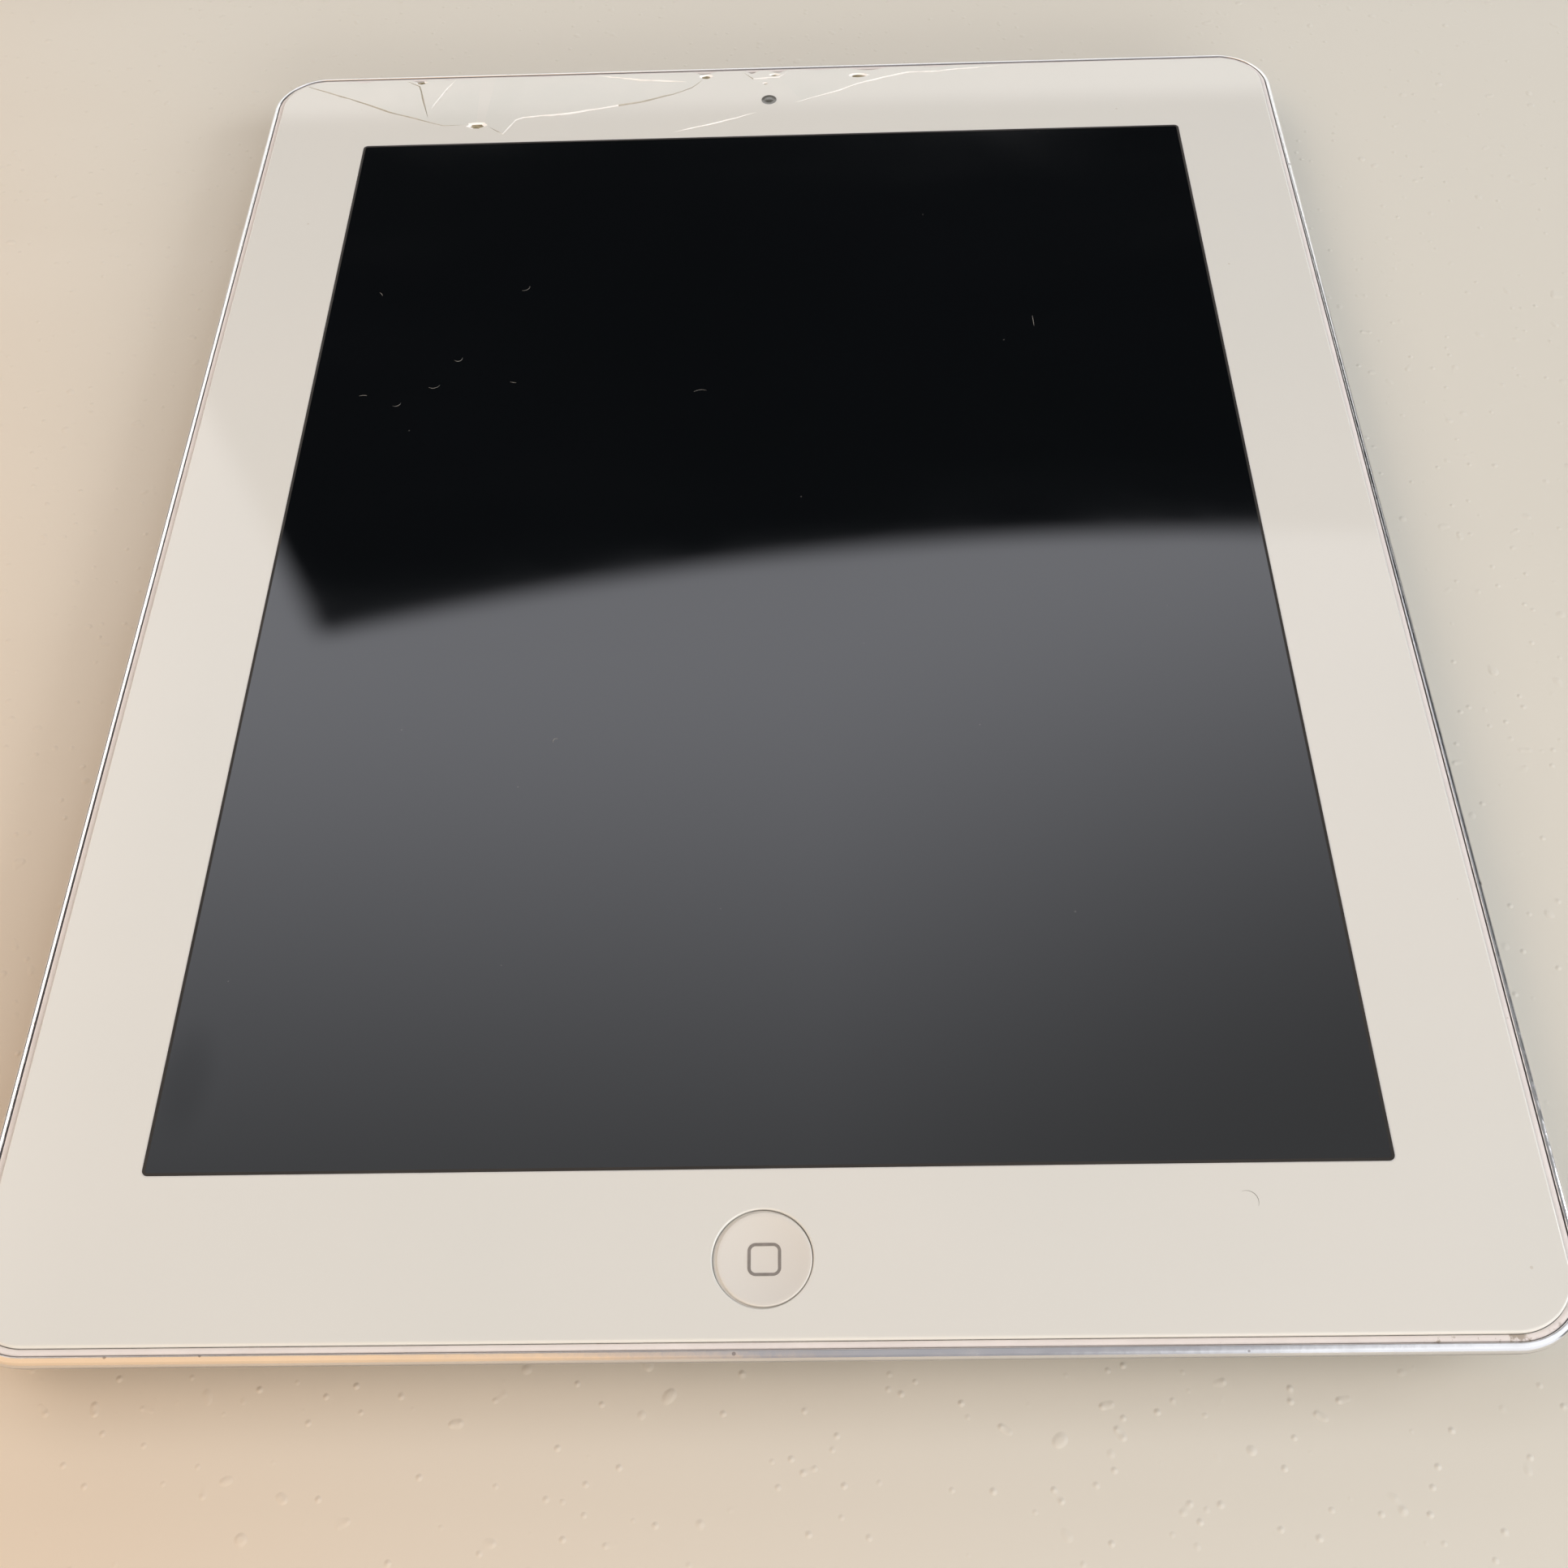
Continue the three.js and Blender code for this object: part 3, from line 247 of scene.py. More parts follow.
def makeToneGroup():
    group, source, sink = newGroup("broadTone", [
        ("First", "Color", (1, 1, 1, 1)), ("Second", "Color", (0, 0, 0, 1)), ("Scale", "Float", 50.0),
    ], [("Color", "Color")])
    place = objectSpot(group)
    noise = addNode(group, "ShaderNodeTexNoise",
                    {"Vector": place, "Scale": source.outputs["Scale"],
                     "Detail": 3.0, "Roughness": 0.55})
    factor = mapRange(group, noise.outputs["Fac"], 0.3, 0.7)
    group.links.new(mixColour(group, factor, source.outputs["First"], source.outputs["Second"]),
                    sink.inputs["Color"])
    return group


def makeGrainGroup():
    group, source, sink = newGroup("fineGrain", [
        ("Scale", "Float", 3000.0), ("Stretch", "Vector", (1, 1, 1)),
    ], [("Height", "Float")])
    place = objectSpot(group)
    turned = addNode(group, "ShaderNodeMapping", {"Vector": place,
                                                  "Scale": source.outputs["Stretch"]})
    noise = addNode(group, "ShaderNodeTexNoise",
                    {"Vector": turned.outputs["Vector"], "Scale": source.outputs["Scale"], "Detail": 2.0})
    pits = addNode(group, "ShaderNodeTexVoronoi",
                   {"Vector": turned.outputs["Vector"], "Scale": source.outputs["Scale"]})
    group.links.new(calculate(group, "MULTIPLY", noise.outputs["Fac"], pits.outputs["Distance"]),
                    sink.inputs["Height"])
    return group


def makeSmearGroup():
    group, source, sink = newGroup("handSmears", [
        ("Scale", "Float", 30.0), ("Low", "Float", 0.2), ("High", "Float", 0.3),
    ], [("Roughness", "Float")])
    place = objectSpot(group)
    turned = addNode(group, "ShaderNodeMapping", {"Vector": place,
                                                  "Rotation": (0, 0, 0.6), "Scale": (1, 2.6, 1)})
    noise = addNode(group, "ShaderNodeTexNoise",
                    {"Vector": turned.outputs["Vector"], "Scale": source.outputs["Scale"],
                     "Detail": 5.0, "Distortion": 0.6})
    factor = mapRange(group, noise.outputs["Fac"], 0.38, 0.68)
    mixed = addNode(group, "ShaderNodeMapRange", {"Value": factor, "To Min": source.outputs["Low"],
                                                  "To Max": source.outputs["High"]})
    group.links.new(mixed.outputs["Result"], sink.inputs["Roughness"])
    return group


def makeSpeckGroup():
    group, source, sink = newGroup("dustSpecks", [
        ("Scale", "Float", 400.0), ("Size", "Float", 0.08), ("Amount", "Float", 0.5),
    ], [("Mask", "Float")])
    place = objectSpot(group)
    cells = addNode(group, "ShaderNodeTexVoronoi", {"Vector": place,
                                                    "Scale": source.outputs["Scale"]})
    noise = addNode(group, "ShaderNodeTexWhiteNoise", {"Vector": cells.outputs["Position"]})
    kept = calculate(group, "LESS_THAN", noise.outputs["Value"], source.outputs["Amount"])
    near = calculate(group, "LESS_THAN", cells.outputs["Distance"], source.outputs["Size"])
    group.links.new(calculate(group, "MULTIPLY", kept, near), sink.inputs["Mask"])
    return group


toneGroup = makeToneGroup()
grainGroup = makeGrainGroup()
smearGroup = makeSmearGroup()
speckGroup = makeSpeckGroup()


def bumpFrom(tree, shader, height, depth, strength=1.0):
    bump = addNode(tree, "ShaderNodeBump", {"Height": height, "Distance": depth * mm, "Strength": strength})
    tree.links.new(bump.outputs["Normal"], shader.inputs["Normal"])
    return bump


def makeFinish(name, look):
    material = bpy.data.materials.new(name)
    material.use_nodes = True
    tree = material.node_tree
    shader = tree.nodes["Principled BSDF"]
    first, second = [(*tone, 1) for tone in look["tones"]]
    tone = useGroup(tree, toneGroup, First=first, Second=second, Scale=look.get("toneScale", 60.0))
    tree.links.new(tone.outputs["Color"], shader.inputs["Base Color"])
    low, high = look["roughness"]
    smear = useGroup(tree, smearGroup, Low=low, High=high, Scale=look.get("smearScale", 40.0))
    tree.links.new(smear.outputs["Roughness"], shader.inputs["Roughness"])
    shader.inputs["Metallic"].default_value = look.get("metallic", 0.0)
    shader.inputs["IOR"].default_value = look.get("ior", 1.5)
    shader.inputs["Coat Weight"].default_value = look.get("coat", 0.0)
    shader.inputs["Coat Roughness"].default_value = look.get("coatRoughness", 0.03)
    scale, depth = look.get("grain", (2500.0, 0.01))
    grain = useGroup(tree, grainGroup, Scale=scale, Stretch=look.get("stretch", (1, 1, 1)))
    bumpFrom(tree, shader, grain.outputs["Height"], depth)
    return material


finishes = {
    "blastedAluminium": {"tones": ((0.58, 0.585, 0.6), (0.64, 0.645, 0.66)), "metallic": 1.0,
                         "roughness": (0.34, 0.42), "grain": (5200.0, 0.02), "toneScale": 14.0},
    "buttonAluminium": {"tones": ((0.55, 0.56, 0.58), (0.62, 0.63, 0.65)), "metallic": 1.0,
                        "roughness": (0.28, 0.36), "grain": (5200.0, 0.015)},
    "polishedRing": {"tones": ((0.70, 0.71, 0.72), (0.8, 0.8, 0.81)), "metallic": 1.0,
                     "roughness": (0.12, 0.2), "stretch": (1, 1, 8)},
    "whiteTrim": {"tones": ((0.80, 0.79, 0.76), (0.83, 0.82, 0.79)), "roughness": (0.3, 0.42)},
    "darkPlastic": {"tones": ((0.016, 0.016, 0.018), (0.024, 0.024, 0.027)), "roughness": (0.32, 0.45),
                    "grain": (3800.0, 0.01)},
    "blackPlastic": {"tones": ((0.012, 0.012, 0.013), (0.02, 0.02, 0.021)), "roughness": (0.38, 0.52),
                     "grain": (3000.0, 0.02)},
    "blackRubber": {"tones": ((0.018, 0.018, 0.018), (0.03, 0.03, 0.03)), "roughness": (0.6, 0.75),
                    "grain": (2200.0, 0.04)},
    "foamTape": {"tones": ((0.02, 0.02, 0.02), (0.04, 0.04, 0.04)), "roughness": (0.75, 0.9),
                 "grain": (1600.0, 0.08)},
    "stampedSteel": {"tones": ((0.50, 0.51, 0.53), (0.58, 0.59, 0.6)), "metallic": 1.0,
                     "roughness": (0.28, 0.42), "stretch": (1, 12, 1)},
    "switchMetal": {"tones": ((0.56, 0.57, 0.58), (0.64, 0.65, 0.65)), "metallic": 1.0,
                    "roughness": (0.22, 0.34), "stretch": (8, 1, 1)},
    "shieldMetal": {"tones": ((0.60, 0.61, 0.62), (0.68, 0.69, 0.69)), "metallic": 1.0,
                    "roughness": (0.3, 0.44), "grain": (700.0, 0.03)},
    "screwSteel": {"tones": ((0.40, 0.40, 0.41), (0.5, 0.5, 0.51)), "metallic": 1.0,
                   "roughness": (0.25, 0.4)},
    "nickelMagnet": {"tones": ((0.55, 0.54, 0.52), (0.62, 0.61, 0.59)), "metallic": 1.0,
                     "roughness": (0.14, 0.24)},
    "copperFilm": {"tones": ((0.60, 0.32, 0.16), (0.72, 0.42, 0.22)), "metallic": 1.0,
                   "roughness": (0.3, 0.4), "toneScale": 400.0},
    "goldContact": {"tones": ((0.78, 0.56, 0.24), (0.86, 0.64, 0.3)), "metallic": 1.0,
                    "roughness": (0.18, 0.28), "toneScale": 500.0},
    "lightGuide": {"tones": ((0.80, 0.80, 0.78), (0.86, 0.86, 0.84)), "roughness": (0.25, 0.35),
                   "grain": (1200.0, 0.01)},
    "ledStrip": {"tones": ((0.75, 0.68, 0.35), (0.85, 0.82, 0.6)), "roughness": (0.35, 0.5),
                 "toneScale": 500.0},
    "greenBoard": {"tones": ((0.012, 0.09, 0.05), (0.02, 0.14, 0.08)), "roughness": (0.3, 0.45),
                   "toneScale": 700.0, "grain": (800.0, 0.03)},
    "blueBoard": {"tones": ((0.012, 0.04, 0.10), (0.02, 0.07, 0.15)), "roughness": (0.3, 0.45),
                  "toneScale": 700.0, "grain": (800.0, 0.03)},
    "chipPackage": {"tones": ((0.02, 0.02, 0.022), (0.032, 0.032, 0.035)), "roughness": (0.5, 0.62),
                    "grain": (4200.0, 0.02)},
    "flexCircuit": {"tones": ((0.16, 0.08, 0.02), (0.26, 0.14, 0.05)), "roughness": (0.3, 0.42),
                    "toneScale": 600.0},
    "batteryFoil": {"tones": ((0.045, 0.045, 0.05), (0.075, 0.075, 0.085)), "roughness": (0.28, 0.5),
                    "grain": (420.0, 0.12)},
    "lensGlass": {"tones": ((0.004, 0.005, 0.010), (0.010, 0.009, 0.018)), "roughness": (0.03, 0.06),
                  "coat": 1.0, "grain": (60.0, 0.0005)},
    "whiteButton": {"tones": ((0.665, 0.655, 0.615), (0.685, 0.668, 0.628)), "roughness": (0.3, 0.4),
                    "grain": (2600.0, 0.002), "coat": 0.3, "coatRoughness": 0.16},
    "printLine": {"tones": ((0.205, 0.19, 0.175), (0.25, 0.23, 0.215)), "toneScale": 900.0,
                  "roughness": (0.35, 0.5)},
    "paleEdge": {"tones": ((0.55, 0.56, 0.56), (0.62, 0.62, 0.61)), "toneScale": 500.0,
                 "roughness": (0.3, 0.4)},
    # Painted glint: crack and chip faces painted bright white where light catches them.
    "crackGlint": {"tones": ((0.92, 0.92, 0.90), (1.0, 1.0, 0.99)), "toneScale": 700.0,
                     "roughness": (0.12, 0.4), "grain": (1500.0, 0.05), "coat": 0.6},
    # Painted shade: the same crack faces, grey-brown, where no light catches them.
    "crackShade": {"tones": ((0.40, 0.375, 0.31), (0.60, 0.575, 0.51)), "toneScale": 500.0,
                  "roughness": (0.3, 0.5), "grain": (1500.0, 0.02), "coat": 0.4},
    # Painted shade: the tilted loose shards get their own slightly greener tone in place of the light their
    # tilt would catch.
    "shardTiltShade": {"tones": ((0.655, 0.675, 0.645), (0.705, 0.715, 0.685)), "toneScale": 70.0,
                   "roughness": (0.36, 0.5), "grain": (900.0, 0.004), "coat": 1.0, "coatRoughness": 0.05},
    "cameraGlass": {"tones": ((0.085, 0.087, 0.078), (0.14, 0.14, 0.13)), "toneScale": 600.0,
                    "roughness": (0.14, 0.25), "coat": 0.8},
    "brownDirt": {"tones": ((0.16, 0.135, 0.07), (0.38, 0.34, 0.23)), "toneScale": 900.0,
                  "roughness": (0.6, 0.9), "grain": (1400.0, 0.2)},
    "dustFibre": {"tones": ((0.16, 0.16, 0.15), (0.32, 0.31, 0.29)), "toneScale": 900.0,
                  "roughness": (0.6, 0.8)},
    "darkGap": {"tones": ((0.012, 0.011, 0.010), (0.03, 0.027, 0.024)), "roughness": (0.7, 0.85)},
}
finish = {name: makeFinish(name, look) for name, look in finishes.items()}


def speckle(material, tint, strength, **dots):
    tree = material.node_tree
    shader = tree.nodes["Principled BSDF"]
    specks = useGroup(tree, speckGroup, **dots)
    clean = shader.inputs["Base Color"].links[0].from_socket
    mask = calculate(tree, "MULTIPLY", specks.outputs["Mask"], strength)
    tree.links.new(mixColour(tree, mask, clean, tint), shader.inputs["Base Color"])
    return tree, shader


def makePrintedGlass():
    material = makeFinish("printedGlass", {
        "tones": ((0.680, 0.692, 0.662), (0.700, 0.704, 0.672)), "toneScale": 18.0,
        "roughness": (0.42, 0.5), "grain": (3000.0, 0.002), "coat": 1.0, "coatRoughness": 0.02})
    shader = speckle(material, (0.42, 0.36, 0.28, 1), 0.35, Scale=260.0, Size=0.05, Amount=0.12)[1]
    shader.inputs["Coat IOR"].default_value = 1.5
    return material


# A greasy stain on the screen, in metres. Its coat is thinner, and its sizes are one over "across".
stain = {"middle": (-0.0709, -0.0862), "across": (220.0, 100.0), "fade": (0.2, 1.0), "coat": 0.55}


def makeScreenGlass():
    material = makeFinish("screenGlass", {
        "tones": ((0.0022, 0.0030, 0.0038), (0.0030, 0.0038, 0.0052)), "toneScale": 9.0,
        "roughness": (0.03, 0.07), "smearScale": 16.0, "grain": (25.0, 0.0004),
        "ior": 1.5, "coat": 1.0, "coatRoughness": 0.015})
    tree, shader = speckle(material, (0.10, 0.10, 0.10, 1), 0.5, Scale=330.0, Size=0.045, Amount=0.06)
    shader.inputs["Specular IOR Level"].default_value = 1.0
    shift = [-spot * scale for spot, scale in zip(stain["middle"], stain["across"])]
    turned = addNode(tree, "ShaderNodeMapping", {"Vector": objectSpot(tree), "Location": (*shift, 0.0),
                                                 "Scale": (*stain["across"], 1.0)})
    reach = addNode(tree, "ShaderNodeVectorMath", {0: turned.outputs["Vector"]}, operation="LENGTH")
    coat = mapRange(tree, reach.outputs["Value"], *stain["fade"], stain["coat"], 1.0, smooth=True)
    tree.links.new(coat, shader.inputs["Coat Weight"])
    return material


grime = {
    "corner": (12, 2),             # dirtiest here, this far in from the right and the near side
    "fade": (0.002, 0.014),        # metres from that spot
    "extra": 0.16,
    "levels": (0.70, 0.78),
    "amount": 0.65,
    "colour": (0.20, 0.15, 0.08),
}


def makeGasketPlastic():
    material = makeFinish("gasketPlastic", {
        "tones": ((0.72, 0.69, 0.68), (0.79, 0.76, 0.75)), "toneScale": 160.0,
        "roughness": (0.35, 0.55), "grain": (900.0, 0.03)})
    tree = material.node_tree
    shader = tree.nodes["Principled BSDF"]
    place = objectSpot(tree)
    patches = addNode(tree, "ShaderNodeTexNoise", {"Vector": place, "Scale": 520.0, "Detail": 4.0,
                                                   "Roughness": 0.7})
    sideIn, nearIn = grime["corner"]
    corner = ((halfX - sideIn) * mm, -(halfY - nearIn) * mm, topZ * mm)
    offset = addNode(tree, "ShaderNodeVectorMath", {0: place, 1: corner}, operation="DISTANCE")
    nearCorner = mapRange(tree, offset.outputs["Value"], *grime["fade"], grime["extra"], 0.0, smooth=True)
    level = calculate(tree, "ADD", patches.outputs["Fac"], nearCorner)
    mask = mapRange(tree, level, *grime["levels"], 0.0, grime["amount"])
    clean = shader.inputs["Base Color"].links[0].from_socket
    tree.links.new(mixColour(tree, mask, clean, (*grime["colour"], 1)), shader.inputs["Base Color"])
    return material


def makePolishedRim():
    material = makeFinish("polishedRim", {
        "tones": ((0.80, 0.80, 0.81), (0.88, 0.88, 0.88)), "metallic": 1.0, "roughness": (0.10, 0.22),
        "grain": (900.0, 0.012), "smearScale": 300.0})
    speckle(material, (0.22, 0.19, 0.18, 1), 0.55, Scale=620.0, Size=0.16, Amount=0.10)
    return material


finish["polishedRim"] = makePolishedRim()
finish["printedGlass"] = makePrintedGlass()
finish["screenGlass"] = makeScreenGlass()
finish["gasketPlastic"] = makeGasketPlastic()
print("finishes made:", len(finish))


cameraView = {
    "lens": 39.77,
    "sensor": 36.0,
    "fromGlass": (8.06, -175.69, 194.14),     # from the middle of the glass face
    "right": (0.99957, -0.00149, -0.02938),
    "forward": (-0.02347, 0.56152, -0.82713),
}


def placeCamera():
    data = bpy.data.cameras.new("camera")
    data.lens = cameraView["lens"]
    data.sensor_width = cameraView["sensor"]
    data.clip_start = 0.005
    eye = addObject("camera", data)
    forward = Vector(cameraView["forward"]).normalized()
    right = Vector(cameraView["right"])
    right = (right - forward * right.dot(forward)).normalized()
    up = right.cross(forward)
    turn = Matrix((right, up, -forward)).transposed()
    spot = (Vector((0, 0, topZ)) + Vector(cameraView["fromGlass"])) * mm
    eye.matrix_world = Matrix.Translation(spot) @ turn.to_4x4()
    bpy.context.scene.camera = eye


placeCamera()
print("camera placed")


housing = {
    "cornerRadius": 9.4,
    "cornerGrowth": 0.35,      # back corners open out by this share of the inset
    "curveWidth": 17.0,
    "widestBelowTop": 1.2,
    "rimBelowGlass": 0.35,
    "rimRound": 0.9,
    "rimWidth": 1.0,
    "wall": 1.2,
    "floor": 0.9,
    "ledgeReach": 6.0,
    "ledgeBelowGlass": 1.3,
    "ledgeThickness": 0.9,
    "backSteps": 26,
    "rimSteps": 10,
    "holeGap": 0.15,
    "softEdge": 0.12,
}
widestZ = topZ - housing["widestBelowTop"]
rimZ = topZ - housing["rimBelowGlass"]
ledgeZ = topZ - housing["ledgeBelowGlass"]


def plainRing(inset, z):
    radius = housing["cornerRadius"] - inset
    return [(x, y, z) for x, y in roundedLoop(halfX - inset, halfY - inset, radius)]


def backRing(inset, z):
    radius = housing["cornerRadius"] + housing["cornerGrowth"] * inset
    return [(x, y, z) for x, y in roundedLoop(halfX - inset, halfY - inset, radius)]


def curveInset(z, lowest=0.0):
    drop = min(1.0, max(0.0, (widestZ - z) / (widestZ - lowest)))
    return housing["curveWidth"] * (1 - math.sqrt(1 - drop * drop))


def housingRings():
    rings = []
    steps = housing["backSteps"]
    for i in range(steps + 1):
        angle = math.pi / 2 * i / steps
        inset = housing["curveWidth"] * (1 - math.sin(angle))
        rings.append(backRing(inset, widestZ * (1 - math.cos(angle))))
    steps = housing["rimSteps"]
    for i in range(1, steps + 1):
        angle = math.pi / 2 * i / steps
        z = widestZ + (rimZ - widestZ) * math.sin(angle)
        rings.append(plainRing(housing["rimRound"] * (1 - math.cos(angle)), z))
    rimStart = len(rings) - 1
    soft = housing["softEdge"] / 2
    rings.append(plainRing(housing["rimWidth"] - soft, rimZ))
    rings.append(plainRing(housing["rimWidth"], rimZ - soft))
    rings.append(plainRing(housing["rimWidth"], ledgeZ))
    under = ledgeZ - housing["ledgeThickness"]
    rings.append(plainRing(housing["ledgeReach"], ledgeZ))
    rings.append(plainRing(housing["ledgeReach"], under))
    start = math.acos((widestZ - under) / (widestZ - housing["floor"]))
    for i in range(9):
        angle = start * (1 - i / 8)
        z = widestZ - (widestZ - housing["floor"]) * math.cos(angle)
        rings.append(backRing(housing["wall"] + curveInset(z, housing["floor"]), z))
    return rings, rimStart


def prism(outline, axis, low, high, middle):
    vertices = []
    for level in (low, high):
        for a, b in outline:
            if axis == "x":
                vertices.append((middle[0] + level, middle[1] + a, middle[2] + b))
            elif axis == "y":
                vertices.append((middle[0] + a, middle[1] + level, middle[2] + b))
            else:
                vertices.append((middle[0] + a, middle[1] + b, middle[2] + level))
    count = len(outline)
    faces = ringFaces(2, count)
    faces.append(tuple(range(count)))
    faces.append(tuple(range(count, 2 * count)))
    return vertices, faces


def pillOutline(length, height):
    return roundedLoop(length / 2, height / 2, height / 2 - 0.01, 12)


# The controls at the edges. The housing's openings are cut to the same sizes.
keySets = {
    "powerKey": {"node": "power_button", "body": "power_key", "axis": "y", "length": 10.4, "height": 2.4},
    "volumeKey": {"node": "volume_rocker", "body": "volume_key", "axis": "x", "length": 21.0,
                  "height": 2.4},
    "sideKey": {"node": "side_switch", "body": "switch_key", "axis": "x", "length": 4.4, "height": 2.0,
                "travel": 1.8},
}

openings = {
    "dockCorner": 0.8, "jackHole": 2.45, "micHole": 0.6, "windowGap": 0.05,
    "cameraHole": 3.45, "reach": 14.0,
}


def openingCutters():
    gap = housing["holeGap"]
    reach = openings["reach"]
    dockLow, dockHigh = boxOf("dock_shell")
    dock = (dockLow + dockHigh) / 2
    power = middleOf("power_button")
    rocker = middleOf("volume_rocker")
    slide = middleOf("side_switch")
    jack = middleOf("headphone_ring")
    mic = middleOf("microphone")
    rear = middleOf("rear_camera_ring")
    window = boxOf("antenna_window")[1]
    dockLoop = roundedLoop((dockHigh.x - dockLow.x) / 2 + gap, (dockHigh.z - dockLow.z) / 2 + gap,
                           openings["dockCorner"], 8)
    powerKey, volumeKey, sideKey = keySets["powerKey"], keySets["volumeKey"], keySets["sideKey"]
    travel = sideKey["travel"]
    powerLoop = pillOutline(powerKey["length"] + 2 * gap, powerKey["height"] + 2 * gap)
    rockerLoop = pillOutline(volumeKey["length"] + 5 * gap, volumeKey["height"] + 2 * gap)
    slideLoop = pillOutline(sideKey["length"] + travel + 2 * gap, sideKey["height"] + 2 * gap)
    # Each cutter: its outline, the axis it runs along, from where to where, and its middle.
    return [
        prism(dockLoop, "y", -5, 15, (0, -halfY, dock.z)),
        prism(powerLoop, "y", -reach, 4, (power.x, halfY, power.z)),
        prism(rockerLoop, "x", -reach + 6, 4, (halfX, rocker.y, rocker.z)),
        prism(slideLoop, "x", -reach + 6, 4, (halfX, slide.y + travel / 2, slide.z)),
        prism(circleLoop(openings["jackHole"], steps=48), "y", -reach, 4, (jack.x, halfY, jack.z)),
        prism(circleLoop(openings["micHole"], steps=24), "y", -10, 4, (mic.x, halfY, mic.z)),
        prism(circleLoop(openings["cameraHole"], steps=64), "z", -1, 2.7, (rear.x, rear.y, 0)),
        prism(circleLoop(window.x + openings["windowGap"], steps=96), "z", -1, 2, (0, 0, 0)),
    ]


def newNodesTree(name, inputs):
    tree = bpy.data.node_groups.new(name, "GeometryNodeTree")
    for label, kind, value in inputs:
        socket = tree.interface.new_socket(label, in_out="INPUT", socket_type="NodeSocket" + kind)
        if value is not None:
            socket.default_value = value
    tree.interface.new_socket("Geometry", in_out="OUTPUT", socket_type="NodeSocketGeometry")
    source = tree.nodes.new("NodeGroupInput")
    sink = tree.nodes.new("NodeGroupOutput")
    return tree, source, sink


def finishTree(tree, instances, source, sink):
    real = addNode(tree, "GeometryNodeRealizeInstances", {"Geometry": instances})
    painted = addNode(tree, "GeometryNodeSetMaterial", {"Geometry": real.outputs["Geometry"],
                                                        "Material": source.outputs["Material"]})
    tree.links.new(painted.outputs["Geometry"], sink.inputs["Geometry"])


def growPiece(name, tree, values, points=()):
    mesh = bpy.data.meshes.new(name)
    mesh.from_pydata([Vector(p) * mm for p in points], [], [])
    piece = addObject(name, mesh)
    modifier = piece.modifiers.new(name, "NODES")
    modifier.node_group = tree
    for item in tree.interface.items_tree:
        if item.in_out == "INPUT" and item.name in values:
            modifier[item.identifier] = values[item.name]
    return applyModifiers(piece)


def makeGrilleTree():
    tree, source, sink = newNodesTree("grilleTree", [
        ("Columns", "Int", 11), ("Rows", "Int", 3), ("Pitch", "Float", 0.0015),
        ("Radius", "Float", 0.00045), ("Depth", "Float", 0.004), ("Middle", "Vector", (0, 0, 0)),
        ("Material", "Material", None)])
    columns, rows = source.outputs["Columns"], source.outputs["Rows"]
    pitch = source.outputs["Pitch"]
    width = calculate(tree, "MULTIPLY", calculate(tree, "SUBTRACT", columns, 1.0), pitch)
    length = calculate(tree, "MULTIPLY", calculate(tree, "SUBTRACT", rows, 1.0), pitch)
    grid = addNode(tree, "GeometryNodeMeshGrid", {"Size X": width, "Size Y": length,
                                                  "Vertices X": columns, "Vertices Y": rows})
    moved = addNode(tree, "GeometryNodeTransform", {"Geometry": grid.outputs["Mesh"],
                                                    "Translation": source.outputs["Middle"]})
    hole = addNode(tree, "GeometryNodeMeshCylinder", {"Vertices": 18, "Radius": source.outputs["Radius"],
                                                      "Depth": source.outputs["Depth"]})
    holes = addNode(tree, "GeometryNodeInstanceOnPoints", {"Points": moved.outputs["Geometry"],
                                                           "Instance": hole.outputs["Mesh"]})
    finishTree(tree, holes.outputs["Instances"], source, sink)
    return tree


grille = {"columns": 11, "rows": 3, "pitch": 1.5, "radius": 0.45, "depth": 4.0}


def buildHousing():
    rings, rimStart = housingRings()
    perRing = len(rings[0])
    vertices = [point for ring in rings for point in ring]
    faces = ringFaces(len(rings), perRing)
    slots = []
    for index in range(len(faces)):
        ring = index // perRing
        slots.append(1 if housing["backSteps"] <= ring <= rimStart + 1 else 0)
    faces.append(tuple(reversed(range(perRing))))
    lastRing = (len(rings) - 1) * perRing
    faces.append(tuple(range(lastRing, lastRing + perRing)))
    slots += [0, 0]
    shell = makePiece("housingShell", vertices, faces,
                      [finish["blastedAluminium"], finish["polishedRim"]], slots)
    outwardNormals(shell)

    cutVertices = []
    cutFaces = []
    for points, sides in openingCutters():
        base = len(cutVertices)
        cutVertices += points
        cutFaces += [tuple(base + i for i in side) for side in sides]
    cutter = makePiece("cutter", cutVertices, cutFaces, [finish["blastedAluminium"]])
    outwardNormals(cutter)
    mesh = middleOf("speaker_mesh")
    holes = growPiece("grilleCutter", makeGrilleTree(), {
        "Columns": grille["columns"], "Rows": grille["rows"], "Pitch": grille["pitch"] * mm,
        "Radius": grille["radius"] * mm, "Depth": grille["depth"] * mm,
        "Middle": (mesh.x * mm, mesh.y * mm, 0.0), "Material": finish["blastedAluminium"]})
    for tool in (cutter, holes):
        cut = shell.modifiers.new(tool.name, "BOOLEAN")
        cut.operation = "DIFFERENCE"
        cut.solver = "EXACT"
        cut.object = tool
    applyModifiers(shell)
    for tool in (cutter, holes):
        bpy.data.objects.remove(tool)
    smoothShading(shell, 30)
    return settle(shell, "housing", "blasted_aluminium", "rear_cover")


buildHousing()
print("housing cut")


